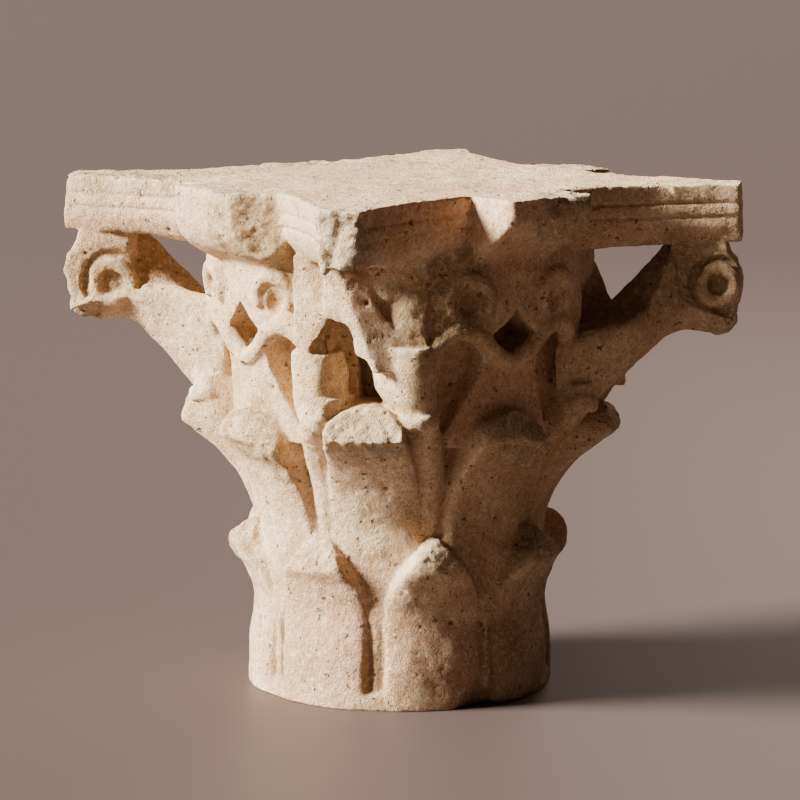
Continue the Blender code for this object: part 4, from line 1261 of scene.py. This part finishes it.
def thin(block, paint):
    """Thin the skin to the triangles allowed and carry the paint's attributes over."""
    tree = search_tree(read_points(block.data))
    triangles = sum(len(face.vertices) - 2 for face in block.data.polygons)
    fewer = block.modifiers.new("Thinning", "DECIMATE")
    fewer.ratio = min(1.0, TRIANGLES / triangles)
    settle(block)
    nearest = [tree.find(point)[1] for point in read_points(block.data)]
    for name, values in paint.items():
        layer = block.data.attributes.new(name, "FLOAT", "POINT")
        layer.data.foreach_set("value", values[nearest].astype(np.float32))
    smooth = np.ones(len(block.data.polygons), dtype=bool)
    block.data.polygons.foreach_set("use_smooth", smooth)


# Stone


def add_node(tree, kind, **settings):
    """Add a shader node; settings name its properties, or its sockets by number or name."""
    made = tree.nodes.new(kind)
    for name, value in settings.items():
        if name.startswith("in_"):
            key = name[3:].replace("_", " ")
            made.inputs[int(key) if key.isdigit() else key].default_value = value
        else:
            setattr(made, name, value)
    return made


def read_layer(tree, name):
    """Value of a point attribute."""
    return add_node(tree, "ShaderNodeAttribute", attribute_name=name).outputs["Fac"]


def speckle(tree, where, scale, detail, low, high):
    """Noise stretched so that it runs from 0 to 1 between two levels."""
    noise = add_node(tree, "ShaderNodeTexNoise", in_Scale=scale, in_Detail=detail, in_Roughness=0.6)
    tree.links.new(where, noise.inputs["Vector"])
    spread_out = add_node(tree, "ShaderNodeMapRange", in_1=low, in_2=high)
    tree.links.new(noise.outputs["Fac"], spread_out.inputs[0])
    return spread_out.outputs[0]


def combine(tree, operation, first, second):
    """Arithmetic on two sockets or numbers."""
    made = add_node(tree, "ShaderNodeMath", operation=operation)
    made.use_clamp = operation in ("MULTIPLY", "ADD", "MAXIMUM")
    for number, value in enumerate((first, second)):
        if isinstance(value, (int, float)):
            made.inputs[number].default_value = value
        else:
            tree.links.new(value, made.inputs[number])
    return made.outputs[0]


def tint(tree, below, share, colour):
    """Lay a colour over what is below, by a share."""
    made = add_node(tree, "ShaderNodeMix", data_type="RGBA", in_7=(*colour, 1.0))
    tree.links.new(share, made.inputs[0])
    tree.links.new(below, made.inputs[6])
    return made.outputs[2]


CREAM = (0.84, 0.63, 0.39)
WARM = (0.76, 0.49, 0.29)
PINK = (0.70, 0.39, 0.25)
TAN = (0.55, 0.34, 0.16)
# Ochre dirt and painted shade for the broad hollows
OCHRE_DIRT_AND_SHADE = (0.26, 0.15, 0.095)
GOLD = (0.33, 0.20, 0.085)
# Dark earth for specks and pits, and painted shade in the creases
EARTH_AND_SHADE = (0.15, 0.08, 0.035)
LICHEN = (0.20, 0.14, 0.065)
SCAR = (0.34, 0.25, 0.17)
# Fresh pale stone for specks and worn edges, and a painted highlight on the edges
FRESH_AND_HIGHLIGHT = (0.86, 0.74, 0.54)

# Layers of colour from the lowest up: where it lies, its grain, its share and its colour.
# A grain is a scale, a detail and the two levels of noise between which the layer fades in.
LAYERS = (
    ("everywhere", (34.0, 6.0, 0.45, 0.62), 0.70, TAN),
    ("smooth", (5.0, 3.0, 0.44, 0.62), 0.75, PINK),
    ("broken", (30.0, 4.0, 0.35, 0.60), 0.50, SCAR),
    ("worn", (26.0, 5.0, 0.30, 0.54), 0.80, GOLD),
    ("everywhere", (13.0, 6.0, 0.50, 0.60), 0.28, GOLD),
    ("near_ground", (17.0, 6.0, 0.38, 0.60), 0.50, GOLD),
    # Ochre dirt and painted shade in the broad hollows
    ("hollow", (22.0, 5.0, 0.30, 0.56), 0.20, OCHRE_DIRT_AND_SHADE),
    # Painted shade in the fine creases
    ("crease", (60.0, 4.0, 0.40, 0.62), 0.60, EARTH_AND_SHADE),
    ("rough", (85.0, 5.0, 0.53, 0.66), 0.42, LICHEN),
    ("everywhere", (150.0, 5.0, 0.44, 0.60), 0.62, TAN),
    ("everywhere", (230.0, 3.0, 0.53, 0.66), 0.55, FRESH_AND_HIGHLIGHT),
    ("everywhere", (420.0, 3.0, 0.56, 0.68), 0.62, EARTH_AND_SHADE),
    ("everywhere", (130.0, 2.0, 0.67, 0.71), 0.80, EARTH_AND_SHADE),
    # Worn fresh stone and a painted highlight on the convex edges
    ("edge", None, 0.35, FRESH_AND_HIGHLIGHT),
    ("pit", None, 0.75, EARTH_AND_SHADE),
)


def make_masks(tree, where):
    """Where layers lie, by name: sockets that run from 0 to 1, or the number 1 for everywhere."""
    names = ("broken", "worn", "hollow", "crease", "edge", "pit")
    masks = {name: read_layer(tree, name) for name in names}
    masks["everywhere"] = 1.0
    masks["rough"] = combine(tree, "MAXIMUM", masks["broken"], masks["worn"])
    masks["smooth"] = combine(tree, "SUBTRACT", 1.0, masks["rough"])
    split = add_node(tree, "ShaderNodeSeparateXYZ")
    tree.links.new(where, split.inputs[0])
    near_ground = add_node(tree, "ShaderNodeMapRange", in_1=0.20, in_2=0.08)
    tree.links.new(split.outputs["Z"], near_ground.inputs[0])
    masks["near_ground"] = near_ground.outputs[0]
    return masks


def layered_colour(tree, where, masks):
    """The stone's colour, layer by layer, with painted shade in hollows and creases and a painted
    highlight on edges.
    """
    base = add_node(tree, "ShaderNodeMix", data_type="RGBA", in_6=(*CREAM, 1.0), in_7=(*WARM, 1.0))
    tree.links.new(speckle(tree, where, 9.0, 5.0, 0.38, 0.66), base.inputs[0])
    below = base.outputs[2]
    for name, grain, share, colour in LAYERS:
        cover = masks[name]
        if grain:
            cover = combine(tree, "MULTIPLY", cover, speckle(tree, where, *grain))
        below = tint(tree, below, combine(tree, "MULTIPLY", cover, share), colour)
    return below


def limestone():
    """Pale limestone, pink where it is smooth, with ochre dirt and painted shade in its hollows, painted
    shade in its creases and a painted highlight on its worn edges, speckled and pitted.
    """
    material = bpy.data.materials.new("weathered_limestone")
    material.use_nodes = True
    tree = material.node_tree
    shader = tree.nodes["Principled BSDF"]
    shader.inputs["Metallic"].default_value = 0.0
    shader.inputs["Specular IOR Level"].default_value = 0.25
    where = add_node(tree, "ShaderNodeTexCoord").outputs["Object"]
    masks = make_masks(tree, where)
    tree.links.new(layered_colour(tree, where, masks), shader.inputs["Base Color"])
    matt = add_node(tree, "ShaderNodeMapRange", in_3=0.80, in_4=0.96)
    tree.links.new(speckle(tree, where, 120.0, 3.0, 0.3, 0.7), matt.inputs[0])
    tree.links.new(matt.outputs[0], shader.inputs["Roughness"])
    tree.links.new(relief(tree, where, masks["rough"]), shader.inputs["Normal"])
    return material


def relief(tree, where, rough_skin):
    """Grain too fine for the mesh, coarser where the stone is broken."""
    coarse = add_node(tree, "ShaderNodeTexNoise", in_Scale=120.0, in_Detail=7.0, in_Roughness=0.68)
    fine = add_node(tree, "ShaderNodeTexNoise", in_Scale=700.0, in_Detail=3.0, in_Roughness=0.6)
    for noise in (coarse, fine):
        tree.links.new(where, noise.inputs["Vector"])
    strength = combine(tree, "ADD", 0.60, combine(tree, "MULTIPLY", rough_skin, 0.4))
    height = combine(tree, "MULTIPLY", coarse.outputs["Fac"], strength)
    height = combine(tree, "ADD", height, combine(tree, "MULTIPLY", fine.outputs["Fac"], 0.25))
    holes = speckle(tree, where, 130.0, 2.0, 0.66, 0.71)
    height = combine(tree, "SUBTRACT", height, combine(tree, "MULTIPLY", holes, 0.35))
    bump = add_node(tree, "ShaderNodeBump", in_Strength=1.0, in_Distance=0.0065)
    tree.links.new(height, bump.inputs["Height"])
    return bump.outputs["Normal"]


# Studio


FLOOR_COLOUR = (0.078, 0.053, 0.046, 1.0)
BACKDROP_COLOUR = (1.0, 0.76, 0.66, 1.0)
BACKDROP_STRENGTH = 0.02

# Camera solved from the photograph: millimetres of lens on a frame 36 mm wide, place and aim
CAMERA_LENS = 155.925
CAMERA_FRAME = 36.0
CAMERA_PLACE = (2.47235, -1.76990, 0.72839)
CAMERA_AIM = (-0.80327, 0.57504, -0.15519)


def make_floor():
    """Plain brown floor."""
    bpy.ops.mesh.primitive_plane_add(size=60.0)
    floor = bpy.context.object
    floor.name = "floor"
    material = bpy.data.materials.new("plain_floor")
    material.use_nodes = True
    shader = material.node_tree.nodes["Principled BSDF"]
    shader.inputs["Base Color"].default_value = FLOOR_COLOUR
    shader.inputs["Roughness"].default_value = 0.55
    floor.data.materials.append(material)


def add_lamp(name, kind, power, colour):
    """Lamp of a kind, in an object of its own."""
    lamp = bpy.data.lights.new(name, kind)
    lamp.energy = power
    lamp.color = colour
    light = bpy.data.objects.new(name, lamp)
    bpy.context.scene.collection.objects.link(light)
    return light


def add_sun(name, azimuth, rise, spread_out, power, colour):
    """Distant soft light from an azimuth and a rise in degrees."""
    light = add_lamp(name, "SUN", power, colour)
    light.data.angle = math.radians(spread_out)
    towards = polar(math.cos(math.radians(rise)), azimuth, math.sin(math.radians(rise)))
    light.rotation_euler = towards.to_track_quat("Z", "Y").to_euler()


def add_light(name, azimuth, rise, distance, size, power, colour):
    """Soft square light aimed at the middle of the object."""
    light = add_lamp(name, "AREA", power, colour)
    light.data.size = size
    lift = math.radians(rise)
    light.location = polar(distance * math.cos(lift), azimuth, 0.5 * HEIGHT + distance * math.sin(lift))
    towards = Vector((0.0, 0.0, 0.5 * HEIGHT)) - light.location
    light.rotation_euler = towards.to_track_quat("-Z", "Y").to_euler()


def make_camera():
    """Camera at the photograph's place and angle."""
    lens = bpy.data.cameras.new("camera")
    lens.lens = CAMERA_LENS
    lens.sensor_width = CAMERA_FRAME
    lens.clip_end = 50.0
    camera = bpy.data.objects.new("camera", lens)
    bpy.context.scene.collection.objects.link(camera)
    camera.location = CAMERA_PLACE
    camera.rotation_euler = Vector(CAMERA_AIM).to_track_quat("-Z", "Y").to_euler()
    bpy.context.scene.camera = camera


def make_studio():
    """Floor, lights, backdrop colour and camera."""
    make_floor()
    add_sun("key", -116.0, 29.0, 20.0, 22.0, (1.0, 0.955, 0.885))
    add_light("bounce", 0.0, 2.0, 3.0, 2.0, 1.9, (1.0, 0.28, 0.16))
    add_light("back", 120.0, 25.0, 3.0, 2.0, 20.0, (1.0, 0.80, 0.66))
    world = bpy.data.worlds.new("studio")
    world.use_nodes = True
    backdrop = world.node_tree.nodes["Background"]
    backdrop.inputs["Color"].default_value = BACKDROP_COLOUR
    backdrop.inputs["Strength"].default_value = BACKDROP_STRENGTH
    bpy.context.scene.world = world
    make_camera()


def make_capital():
    """The dressed stone, in place of the plain solid."""
    stone = bpy.data.collections.new("stone")
    forms = bpy.data.collections.new("forms")
    cutters = bpy.data.collections.new("cutters")
    for collection in (stone, forms, cutters):
        bpy.context.scene.collection.children.link(collection)
    build_forms(forms, cutters)
    make_abacus(forms)
    block = fuse(list(forms.objects), "capital_stone", stone)
    for helper in list(forms.objects) + list(cutters.objects):
        bpy.data.objects.remove(helper)
    for collection in (forms, cutters):
        bpy.data.collections.remove(collection)
    thin(block, weather(block))
    block.data.materials.clear()
    block.data.materials.append(limestone())
    return block


capital = make_capital()
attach(capital, "root")
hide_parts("capital")
make_studio()
